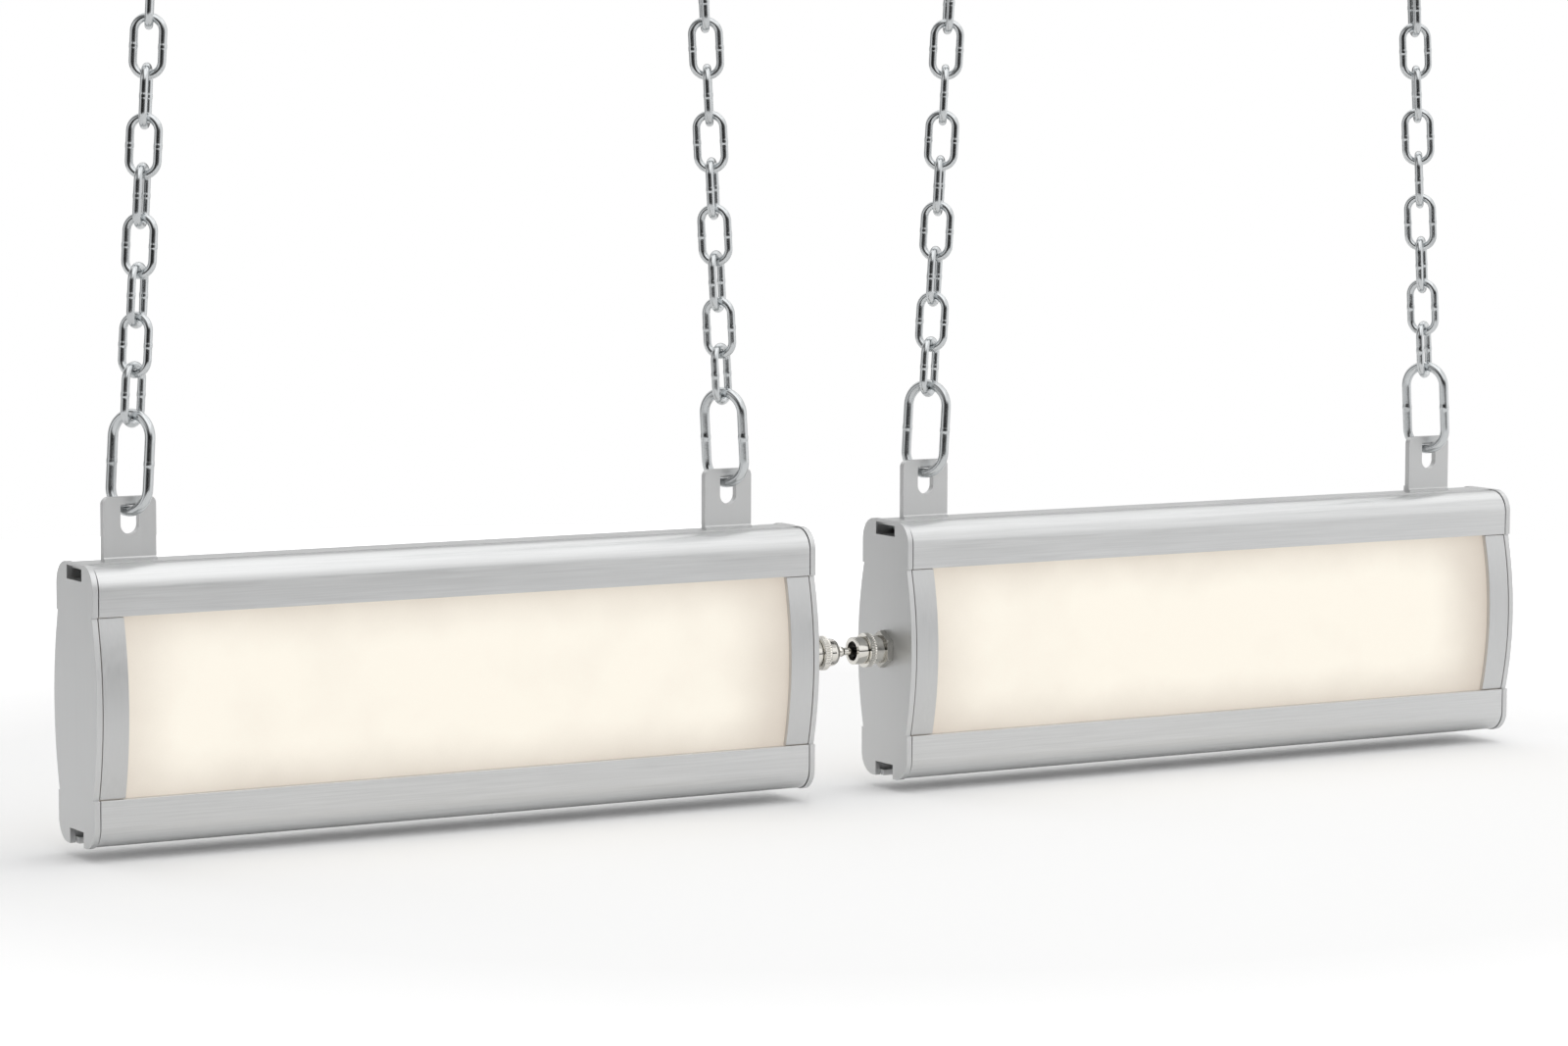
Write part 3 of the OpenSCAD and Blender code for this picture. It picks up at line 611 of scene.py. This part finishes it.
class SHOPLIGHT_OT_rails(bpy.types.Operator):
    """Build the brushed rails and the channels between them"""

    bl_idname = "shoplight.rails"
    bl_label = "Rails and channels"

    def execute(self, context):
        finish = context.scene.shop_light_finish
        pale = tint(finish.aluminium, 1.08)
        rails = brushed_metal("brushed_rail", finish.aluminium, "X", streaks=0.09)
        channels = brushed_metal("anodised_channel", pale, "X", roughness=0.4, streaks=0.03)
        for side in SIDES:
            for place in ("front_top", "front_bottom", "rear_top", "rear_bottom"):
                node = f"{side}_{place}_rail"
                show(softened_copy(node, f"rail_{side}_{place}", finish.edge_radius), node,
                     "brushed_aluminium", rails)
            for place in ("top", "bottom"):
                node = f"{side}_{place}_channel"
                show(softened_copy(node, f"channel_{side}_{place}", 0.7 * finish.edge_radius), node,
                     "anodised_channel", channels)
        return {"FINISHED"}


class SHOPLIGHT_OT_end_plates(bpy.types.Operator):
    """Build the four end plates and dress their dowel pins"""

    bl_idname = "shoplight.end_plates"
    bl_label = "End plates"

    def execute(self, context):
        finish = context.scene.shop_light_finish
        grey = tint(finish.aluminium, 0.97)
        plate = brushed_metal("satin_plate", grey, "Z", roughness=0.42, streaks=0.03)
        pins = plated_steel("pin_steel", finish.zinc, 0.3)
        for side in SIDES:
            for place in ("outer", "inner"):
                node = f"{side}_{place}_end_plate"
                show(softened_copy(node, f"end_plate_{side}_{place}", finish.edge_radius), node,
                     "satin_plate", plate)
            dress(f"{side}_end_plate_pins", pins)
        return {"FINISHED"}


class SHOPLIGHT_OT_windows(bpy.types.Operator):
    """Build the bowed diffusers and the bezels at their ends"""

    bl_idname = "shoplight.windows"
    bl_label = "Windows"

    def execute(self, context):
        finish = context.scene.shop_light_finish
        glow = glowing_diffuser("frosted_diffuser", finish)
        back = moulded("diffuser_back", (0.60, 0.58, 0.54), 0.5)
        grey = tint(finish.aluminium, 0.91)
        bezel = brushed_metal("satin_bezel", grey, "Z", roughness=0.36, streaks=0.04)
        rubber = moulded("black_rubber", (0.02, 0.02, 0.021), 0.6)
        for side in SIDES:
            for face in ("front", "rear"):
                node = f"{side}_{face}_diffuser"
                show(diffuser(node, f"diffuser_{side}_{face}"), node, "frosted_diffuser", glow, back)
            node = f"{side}_window_bezels"
            show(softened_copy(node, f"bezels_{side}", finish.edge_radius), node, "satin_bezel", bezel)
            dress(f"{side}_diffuser_seals", rubber)
        return {"FINISHED"}


def diffuser(node, name):
    """A bowed sheet: (x, centre + R cos t, middle + R sin t) for t across the window, walled inwards.

    R follows from the sheet's half height h and its rise: R = (h * h + rise * rise) / (2 * rise), less the
    bezel over it.
    """
    low, high = (np.array(corner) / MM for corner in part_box(node))
    front = -1 if low[1] < 0 else 1
    outer_y = max(abs(low[1]), abs(high[1]))
    half = (high[2] - low[2]) / 2
    bow_r = (half**2 + BOW_RISE**2) / (2 * BOW_RISE)
    radius = bow_r - BEZEL_T
    t = np.linspace(-1, 1, 41) * math.asin(half / radius)
    x = np.linspace(low[0], high[0], 60)
    y = front * (outer_y - radius + radius * np.cos(t))
    z = (low[2] + high[2]) / 2 + radius * np.sin(t)
    x_grid, y_grid = np.meshgrid(x, y, indexing="ij")
    obj = grid(name, np.stack([x_grid, y_grid, np.broadcast_to(z, x_grid.shape)], -1))
    if obj.data.polygons[0].normal.y * front <= 0:
        obj.data.flip_normals()
    wall = obj.modifiers.new("Wall", "SOLIDIFY")
    wall.thickness = DIFFUSER_T * MM
    wall.offset = -1
    wall.material_offset = wall.material_offset_rim = 1
    return obj


class SHOPLIGHT_OT_light_engine(bpy.types.Operator):
    """Dress the web plate, light boards, emitters, driver and wiring inside the modules"""

    bl_idname = "shoplight.light_engine"
    bl_label = "Light engine"

    def execute(self, context):
        finish = context.scene.shop_light_finish
        looks = {
            "web_plate": brushed_metal("mill_aluminium", tint(finish.aluminium, 0.95), "X", roughness=0.5),
            "light_boards": moulded("white_board", (0.82, 0.82, 0.80), 0.35),
            "emitters": moulded("phosphor", (0.85, 0.70, 0.22), 0.4),
            "driver": moulded("white_housing", (0.78, 0.78, 0.77), 0.45),
            "wiring": moulded("wire_insulation", (0.70, 0.70, 0.68), 0.4),
        }
        for side in SIDES:
            for part, material in looks.items():
                dress(f"{side}_{part}", material)
        return {"FINISHED"}


class SHOPLIGHT_OT_brackets(bpy.types.Operator):
    """Build the hanger brackets, their screws and the nut bars"""

    bl_idname = "shoplight.brackets"
    bl_label = "Hanger brackets"

    def execute(self, context):
        finish = context.scene.shop_light_finish
        grey = tint(finish.aluminium, 0.93)
        metal = brushed_metal("satin_bracket", grey, "Z", roughness=0.44, streaks=0.03)
        steel = plated_steel("screw_steel", finish.zinc, 0.28)
        for side in SIDES:
            node = f"{side}_hanger_brackets"
            brackets = softened_copy(node, f"brackets_{side}", 1.3 * finish.edge_radius, 3)
            show(brackets, node, "satin_bracket", metal)
            node = f"{side}_bracket_screws"
            screws = softened_copy(node, f"screws_{side}", 0.8 * finish.edge_radius)
            show(screws, node, "zinc_steel", steel)
            dress(f"{side}_nut_bars", steel)
        return {"FINISHED"}


class SHOPLIGHT_OT_chains(bpy.types.Operator):
    """Build every link of the four chains"""

    bl_idname = "shoplight.chains"
    bl_label = "Chains"

    def execute(self, context):
        zinc = plated_steel("zinc_chain", context.scene.shop_light_finish.zinc, 0.16)
        chains = range(len(HOOK_X))
        for n in chains:
            run = [(n, j) for j in range(1, SMALL_LINKS)]
            show(links(f"chain_{n + 1}", run, SMALL_LINK), f"chain_run_{n + 1}", "zinc_chain", zinc)
        hooked = [(n, SMALL_LINKS) for n in chains]
        show(links("hook_links", hooked, SMALL_LINK), "top_links", "zinc_chain", zinc)
        for k, side in enumerate(SIDES):
            pair = [(2 * k, 0), (2 * k + 1, 0)]
            show(links(f"large_links_{side}", pair, BIG_LINK), f"{side}_large_links", "zinc_chain", zinc)
        return {"FINISHED"}


class SHOPLIGHT_OT_ceiling_fittings(bpy.types.Operator):
    """Build the ceiling plates and their hooks"""

    bl_idname = "shoplight.ceiling_fittings"
    bl_label = "Ceiling fittings"

    def execute(self, context):
        finish = context.scene.shop_light_finish
        steel = plated_steel("zinc_steel", finish.zinc, 0.28)
        plates = softened_copy("ceiling_plates", "ceiling_plates_soft", 1.5 * finish.edge_radius, 3)
        show(plates, "ceiling_plates", "zinc_steel", steel)
        hooks = joined("hooks", [hook(f"hook_{n + 1}", x) for n, x in enumerate(HOOK_X)])
        show(hooks, "ceiling_hooks", "zinc_steel", steel)
        return {"FINISHED"}


def hook(name, x):
    """A hook bent from one wire, as circles of the wire's radius carried along its centreline.

    The centreline runs down the neck, round a small elbow (a parabola) and along two thirds of a ring.
    The radius comes up from nothing in the first step below the plate, and falls to nothing along a
    quarter circle at the tip.
    """
    ring_z = -(PLATE_T + HOOK_NECK + HOOK_R)
    top_z = ring_z + HOOK_R
    neck = np.stack([np.zeros(6), np.linspace(-PLATE_T, top_z + ELBOW_RISE, 6)], -1)
    bend_t = np.linspace(0, 1, 8)[1:-1, None]
    ring_start = math.radians(RING_START)
    entry = np.array([HOOK_R * math.cos(ring_start), ring_z + HOOK_R * math.sin(ring_start)])
    corner = np.array([ELBOW_CORNER[0], top_z + ELBOW_CORNER[1]])
    bend = (1 - bend_t) ** 2 * neck[-1] + 2 * bend_t * (1 - bend_t) * corner + bend_t**2 * entry
    arc = np.linspace(ring_start, -math.pi, 60)
    ring = np.stack([HOOK_R * np.cos(arc), ring_z + HOOK_R * np.sin(arc)], -1)
    tip_turn = np.linspace(TIP_START, math.pi / 2, TIP_STEPS)
    tip = np.stack([np.full(TIP_STEPS, -HOOK_R), ring_z + HOOK_WIRE / 2 * np.sin(tip_turn)], -1)
    line = np.vstack([neck, bend, ring, tip])
    radius = np.full(len(line), HOOK_WIRE / 2)
    radius[-TIP_STEPS:] *= np.cos(tip_turn)
    radius[0] = 0
    step = np.gradient(line, axis=0)
    step /= np.linalg.norm(step, axis=1, keepdims=True)
    normal = np.stack([-step[:, 1], step[:, 0]], -1)
    v = np.linspace(0, 2 * math.pi, 24, endpoint=False)
    out = radius[:, None] * np.cos(v)
    wire_x = line[:, :1] + normal[:, :1] * out
    wire_z = line[:, 1:] + normal[:, 1:] * out
    points = np.stack([wire_x, radius[:, None] * np.sin(v), wire_z], -1)
    turn = Matrix.Rotation(math.radians(90) - link_angle(SMALL_LINKS), 4, "Z")
    return grid(name, placed(points, Matrix.Translation((x, 0, 0)) @ turn), closed_v=True)


class SHOPLIGHT_OT_connectors(bpy.types.Operator):
    """Build the plug, the socket and the supply inlet"""

    bl_idname = "shoplight.connectors"
    bl_label = "Connectors"

    def execute(self, context):
        finish = context.scene.shop_light_finish
        nickel = plated_steel("nickel", finish.nickel, 0.06, dull=0.95)
        black = moulded("black_insulator", (0.02, 0.02, 0.022), 0.45)
        # The nuts wear the nickel darkened to 0.6: a painted dark reflection on their flats.
        painted_dark_nickel = plated_steel("nut_nickel_painted_dark", tint(finish.nickel, 0.6), 0.12, dull=0.95)
        for node, metal in (("plug_nut", painted_dark_nickel), ("socket_nut", painted_dark_nickel), ("supply_inlet", nickel)):
            show(softened_copy(node, f"{node}_soft", 0.8 * finish.edge_radius), node, "nickel", metal)
        show(contacts("contacts"), "socket_contacts", "black_insulator", black, nickel)
        cone_end = PLUG_SLEEVE_END + PLUG_CONE[0]
        nose = [(PLUG_SLEEVE_END, BARREL_R), (cone_end, PLUG_CONE[1]), (cone_end, 0)]
        radii = [TURNED_EDGE] * 5 + [SLEEVE_CURVE, CONE_EDGE]
        plug = turned("plug_barrel", barrel(PLUG_RING, nose, radii), PLUG_FACE_X, 1)
        show(plug, "plug_body", "nickel", nickel)
        floor = SOCKET_END - MOUTH_DEPTH
        mouth = [(SOCKET_END, BARREL_R), (SOCKET_END, MOUTH_R), (floor, MOUTH_R), (floor, 0)]
        socket = turned("socket_barrel", barrel(SOCKET_RING, mouth, TURNED_EDGE), SOCKET_FACE_X, -1)
        show(socket, "socket_body", "nickel", nickel)
        for name, span, face_x, outwards in (("plug_ring", PLUG_RING, PLUG_FACE_X, 1),
                                             ("socket_ring", SOCKET_RING, SOCKET_FACE_X, -1)):
            node = name.replace("ring", "coupling_ring")
            show(coupling_ring(name, span, face_x, outwards), node, "nickel", nickel)
        ball = ball_pin("ball_pin", cone_end + BALL_R - BALL_SINK)
        show(ball, "plug_ball_pin", "nickel", nickel)
        return {"FINISHED"}


def barrel(ring, end, radius):
    """A barrel's profile with a neck for its ring, from behind the end plate to the points of end."""
    back = -(END_PLATE_T + REAR_BODY)
    neck = [(ring[0], BARREL_R), (ring[0], NECK_R), (ring[1], NECK_R), (ring[1], BARREL_R)]
    return soft_profile([(back, 0), (back, BARREL_R), *neck, *end], radius)


def contacts(name):
    """The insulator disc on the floor of the mouth, and its domed pins on a circle round the axis."""
    floor_x = SOCKET_END - MOUTH_DEPTH
    disc_r = MOUTH_R - DISC_SLACK
    disc = [(floor_x, 0), (floor_x, disc_r), (floor_x + DISC_T, disc_r), (floor_x + DISC_T, 0)]
    parts = [turned("disc", soft_profile(disc, DISC_EDGE), SOCKET_FACE_X, -1)]
    dome = np.linspace(0, math.pi / 2, 6)
    dome_x = floor_x + CONTACT_L - CONTACT_R + CONTACT_R * np.cos(dome)
    tip = np.column_stack([dome_x, CONTACT_R * np.sin(dome)])
    pin = np.vstack([(floor_x + DISC_T / 2, 0), (floor_x + DISC_T / 2, CONTACT_R), tip[::-1]])
    for k in range(CONTACTS):
        part = turned(f"pin_{k}", pin, SOCKET_FACE_X, -1, steps=24)
        angle = math.radians(FIRST_CONTACT + k * 360 / CONTACTS)
        offset = Vector((0, -math.sin(angle), math.cos(angle))) * CONTACT_CIRCLE_R * MM
        part.data.transform(Matrix.Translation(offset))
        part.data.polygons.foreach_set("material_index", np.ones(len(part.data.polygons), np.int32))
        parts.append(part)
    return joined(name, parts)


def coupling_ring(name, span, face_x, outwards):
    """A ring turned from its profile: scallops of depth GROOVE_DEPTH (1 - |cos(GROOVES v / 2)|) in its rim.

    They come in from RIM_PLAIN to RIM_FULL, measured from each side of the ring.
    """
    start, end = span[0] + RING_SLACK, span[1] - RING_SLACK
    bore = NECK_R + BORE_SLACK
    rim = np.linspace(start + RIM_LINES, end - RIM_LINES, 9)
    profile = [(start, bore), (start, RING_R - RIM_BEVEL), (start + RIM_BEVEL, RING_R)]
    profile += [(x, RING_R) for x in rim]
    profile += [(end - RIM_BEVEL, RING_R), (end, RING_R - RIM_BEVEL), (end, bore), (start, bore)]

    def carve(x, v, radius):
        from_start = np.clip((x - start - RIM_PLAIN) / (RIM_FULL - RIM_PLAIN), 0, 1)
        from_end = np.clip((end - x - RIM_PLAIN) / (RIM_FULL - RIM_PLAIN), 0, 1)
        groove = 1 - np.abs(np.cos(0.5 * GROOVES * v))
        return np.where(radius >= RING_R, GROOVE_DEPTH * from_start * from_end * groove, 0)

    return turned(name, profile, face_x, outwards, steps=GROOVES * 12, carve=carve)


def ball_pin(name, ball_x):
    """The ball and its stem as one turned profile: a circle's arc, the stem's line and a rounded tip."""
    join = math.asin(STEM_R / BALL_R)
    arc = np.linspace(math.pi, join, 24)
    ball = np.stack([ball_x + BALL_R * np.cos(arc), BALL_R * np.sin(arc)], -1)
    tip_arc = np.linspace(math.pi / 2, 0, 8)
    tip = np.stack([STEM_END + STEM_R * np.cos(tip_arc), STEM_R * np.sin(tip_arc)], -1)
    return turned(name, np.vstack([ball, tip]), PLUG_FACE_X, 1, steps=48)


# ---- studio ----

CAMERA_PLACE = (-1400.95, -2351.9, -94.4)
CAMERA_YAW = 30.2487
CAMERA_PITCH = -5.546
CAMERA_ROLL = 0.182
SENSOR = 36
LAMP_PLACE = (0.35, -0.35, 1.1)
LAMP_TARGET = (0.05, -0.1, -0.45)
LAMP_SIZE = (3.4, 1.7)
FLOOR_REACH = 1600.0
FLOOR_POINTS = 96
FLOOR_LIFT = (0.065, 0.62)
FLOOR_FADE = (0.75, 0.98 * FLOOR_REACH * MM)
FLOOR_SHADE = 0.93
FRONT_FLAG = ((-0.51, -0.86), (0.12, 0.36), (0.30, 0.84), 0.95)
REAR_FLAG = ((0.51, 0.86), (0.20, 0.60), (0.78, 0.96), 0.75)
SLICE_X = 0.51
SLICE_DEPTH = (0.03, 0.05)
LINE_DEPTH = (0.05, 0.10)
TOP_HEIGHT = (0.55, 0.78)
LINE_SHADE = 1.0
TOP_SHADE = 0.75
ROOM_SIDE = ((-0.95, 0.9), (-0.72, 0.2), (-0.53, 0.2), (-0.26, 1.1), (1.0, 1.04))
WHITE = (1, 1, 1, 1)


def camera_matrix():
    """The camera's place: it looks along the yaw and pitch, and its right and up turn by the roll."""
    yaw, pitch, roll = (math.radians(a) for a in (CAMERA_YAW, CAMERA_PITCH, CAMERA_ROLL))
    ahead = Vector((math.sin(yaw) * math.cos(pitch), math.cos(yaw) * math.cos(pitch), math.sin(pitch)))
    right = Vector((math.cos(yaw), -math.sin(yaw), 0))
    up = right.cross(ahead)
    rolled_right = right * math.cos(roll) + up * math.sin(roll)
    rolled_up = up * math.cos(roll) - right * math.sin(roll)
    turn = Matrix((rolled_right, rolled_up, -ahead)).transposed().to_4x4()
    return Matrix.Translation(Vector(CAMERA_PLACE) * MM) @ turn


def area_lamp(name, place, target, size, power):
    """A soft box at the place, facing the target, in metres."""
    data = bpy.data.lights.new(name, "AREA")
    data.shape = "RECTANGLE"
    data.size, data.size_y = size
    data.energy = power
    lamp = bpy.data.objects.new(name, data)
    bpy.context.scene.collection.objects.link(lamp)
    ahead = Vector(target) - Vector(place)
    lamp.matrix_world = Matrix.Translation(place) @ ahead.to_track_quat("-Z", "Y").to_matrix().to_4x4()
    lamp.visible_camera = False
    return lamp


class SHOPLIGHT_OT_studio(bpy.types.Operator):
    """Set the pale floor, the soft light and the camera"""

    bl_idname = "shoplight.studio"
    bl_label = "Studio"

    def execute(self, context):
        studio = context.scene.shop_light_studio
        context.scene.view_settings.view_transform = "Standard"
        pale_floor(CAD_BOX[0].z - studio.floor_gap)
        white_room()
        area_lamp("overhead_box", LAMP_PLACE, LAMP_TARGET, LAMP_SIZE, studio.soft_box)
        data = bpy.data.cameras.new("camera")
        data.sensor_width = SENSOR
        data.lens = studio.focal_length
        data.clip_end = 50
        camera = bpy.data.objects.new("camera", data)
        context.scene.collection.objects.link(camera)
        camera.matrix_world = camera_matrix()
        context.scene.camera = camera
        return {"FINISHED"}


def pale_floor(height):
    """A round plain floor that shows the shadow and, to the camera, ends in white."""
    turn = np.linspace(0, 2 * math.pi, FLOOR_POINTS, endpoint=False)
    level = np.full(FLOOR_POINTS, height / MM)
    points = np.column_stack([FLOOR_REACH * np.cos(turn), FLOOR_REACH * np.sin(turn), level])
    floor = mesh_object("floor", points, np.arange(FLOOR_POINTS)[None, :])
    nodes = Nodes("pale_floor")
    nodes.even(Base_Color=(FLOOR_SHADE, FLOOR_SHADE, FLOOR_SHADE, 1), Roughness=0.9, Specular_IOR_Level=0.0)
    nodes.even(Emission_Color=WHITE)
    place = nodes.add("ShaderNodeTexCoord")
    away = nodes.add("ShaderNodeVectorMath", operation="LENGTH")
    nodes.link(place.outputs["Object"], away.inputs[0])
    lift = nodes.between(away.outputs["Value"], *FLOOR_LIFT, *FLOOR_FADE)
    rays = nodes.add("ShaderNodeLightPath")
    shown = nodes.add("ShaderNodeMath", operation="MAXIMUM")
    nodes.link(rays.outputs["Is Camera Ray"], shown.inputs[0])
    nodes.link(rays.outputs["Is Transmission Ray"], shown.inputs[1])
    nodes.link(nodes.times(shown.outputs[0], lift), nodes.shader.inputs["Emission Strength"])
    floor.data.materials.append(nodes.material)


def white_room():
    """A white world to the camera; to all other rays a bright room with dark flags round it.

    Along X the room's level runs through the points of ROOM_SIDE. A flag is (direction on the level,
    depth, side, shade): it darkens by shade where the sine of the height is under depth[0] and the cosine
    of the angle from its direction is over side[1], and fades out to depth[1] and side[0]. The front flag
    is the dark core of the wires and the rear flag their thin outline. The slice round SLICE_X is what the
    turned connector parts reflect: there a dark line runs at eye level, and the room above TOP_HEIGHT is
    darker.
    """
    world = bpy.data.worlds.new("white_room")
    bpy.context.scene.world = world
    world.use_nodes = True
    tree = world.node_tree
    tree.nodes.clear()

    def add(kind, **settings):
        node = tree.nodes.new(kind)
        for key, value in settings.items():
            setattr(node, key, value)
        return node

    def maths(operation, *values):
        node = add("ShaderNodeMath", operation=operation)
        for value, target in zip(values, node.inputs):
            if isinstance(value, bpy.types.NodeSocket):
                tree.links.new(value, target)
            else:
                target.default_value = value
        return node.outputs[0]

    def ramp(source, ends, levels, kind="SMOOTHSTEP"):
        span = add("ShaderNodeMapRange", interpolation_type=kind)
        for key, value in zip(("From Min", "From Max", "To Min", "To Max"), (*ends, *levels)):
            span.inputs[key].default_value = value
        tree.links.new(source, span.inputs["Value"])
        return span.outputs["Result"]

    place = add("ShaderNodeTexCoord")
    parts = add("ShaderNodeSeparateXYZ")
    tree.links.new(place.outputs["Generated"], parts.inputs[0])
    height = maths("ABSOLUTE", parts.outputs["Z"])

    def flag(towards, depth, side, shade):
        facing = add("ShaderNodeVectorMath", operation="DOT_PRODUCT")
        facing.inputs[1].default_value = (*towards, 0)
        tree.links.new(place.outputs["Generated"], facing.inputs[0])
        across = ramp(facing.outputs["Value"], side, (0, 1))
        return maths("MULTIPLY", ramp(height, depth, (shade, 0)), across)

    level = None
    for (x_0, level_0), (x_1, level_1) in zip(ROOM_SIDE, ROOM_SIDE[1:]):
        step = ramp(parts.outputs["X"], (x_0, x_1), (0, level_1 - level_0), "LINEAR")
        level = maths("ADD", level_0 if level is None else level, step)
    beside = maths("ABSOLUTE", maths("SUBTRACT", parts.outputs["X"], SLICE_X))
    seen = ramp(beside, SLICE_DEPTH, (1, 0))
    line = maths("MULTIPLY", seen, ramp(height, LINE_DEPTH, (LINE_SHADE, 0)))
    top = maths("MULTIPLY", seen, ramp(parts.outputs["Z"], TOP_HEIGHT, (0, TOP_SHADE)))
    for dark in (flag(*FRONT_FLAG), flag(*REAR_FLAG), line, top):
        level = maths("MULTIPLY", level, maths("SUBTRACT", 1, dark))
    room = add("ShaderNodeBackground")
    tree.links.new(level, room.inputs["Strength"])
    backdrop = add("ShaderNodeBackground")
    for shade in (room, backdrop):
        shade.inputs["Color"].default_value = WHITE
    rays = add("ShaderNodeLightPath")
    shown = maths("MAXIMUM", rays.outputs["Is Camera Ray"], rays.outputs["Is Transmission Ray"])
    final = add("ShaderNodeMixShader")
    tree.links.new(shown, final.inputs["Fac"])
    tree.links.new(room.outputs[0], final.inputs[1])
    tree.links.new(backdrop.outputs[0], final.inputs[2])
    output = add("ShaderNodeOutputWorld")
    tree.links.new(final.outputs[0], output.inputs["Surface"])


# ---- panel and registration ----

STEPS = (
    SHOPLIGHT_OT_rails,
    SHOPLIGHT_OT_end_plates,
    SHOPLIGHT_OT_windows,
    SHOPLIGHT_OT_light_engine,
    SHOPLIGHT_OT_brackets,
    SHOPLIGHT_OT_chains,
    SHOPLIGHT_OT_ceiling_fittings,
    SHOPLIGHT_OT_connectors,
    SHOPLIGHT_OT_studio,
)


class SHOPLIGHT_PT_panel(bpy.types.Panel):
    """Lists the steps and settings of the shop light"""

    bl_idname = "SHOPLIGHT_PT_panel"
    bl_label = "Hanging Shop Light"
    bl_space_type = "VIEW_3D"
    bl_region_type = "UI"
    bl_category = "Shop Light"

    def draw(self, context):
        for settings in GROUPS.values():
            box = self.layout.box()
            group = getattr(context.scene, settings)
            for key in group.bl_rna.properties.keys():
                if key not in ("rna_type", "name"):
                    box.prop(group, key)
        for step in STEPS:
            self.layout.operator(step.bl_idname)


GROUPS = {
    ShopLightFinish: "shop_light_finish",
    ShopLightChain: "shop_light_chain",
    ShopLightStudio: "shop_light_studio",
}


def register():
    for group, name in GROUPS.items():
        bpy.utils.register_class(group)
        setattr(bpy.types.Scene, name, bpy.props.PointerProperty(type=group))
    for step in STEPS:
        bpy.utils.register_class(step)
    bpy.utils.register_class(SHOPLIGHT_PT_panel)


def unregister():
    bpy.utils.unregister_class(SHOPLIGHT_PT_panel)
    for step in reversed(STEPS):
        bpy.utils.unregister_class(step)
    for group, name in GROUPS.items():
        delattr(bpy.types.Scene, name)
        bpy.utils.unregister_class(group)


def main():
    register()
    for step in STEPS:
        area, name = step.bl_idname.split(".")
        getattr(getattr(bpy.ops, area), name)()
    bpy.context.view_layer.update()


if __name__ == "__main__":
    main()
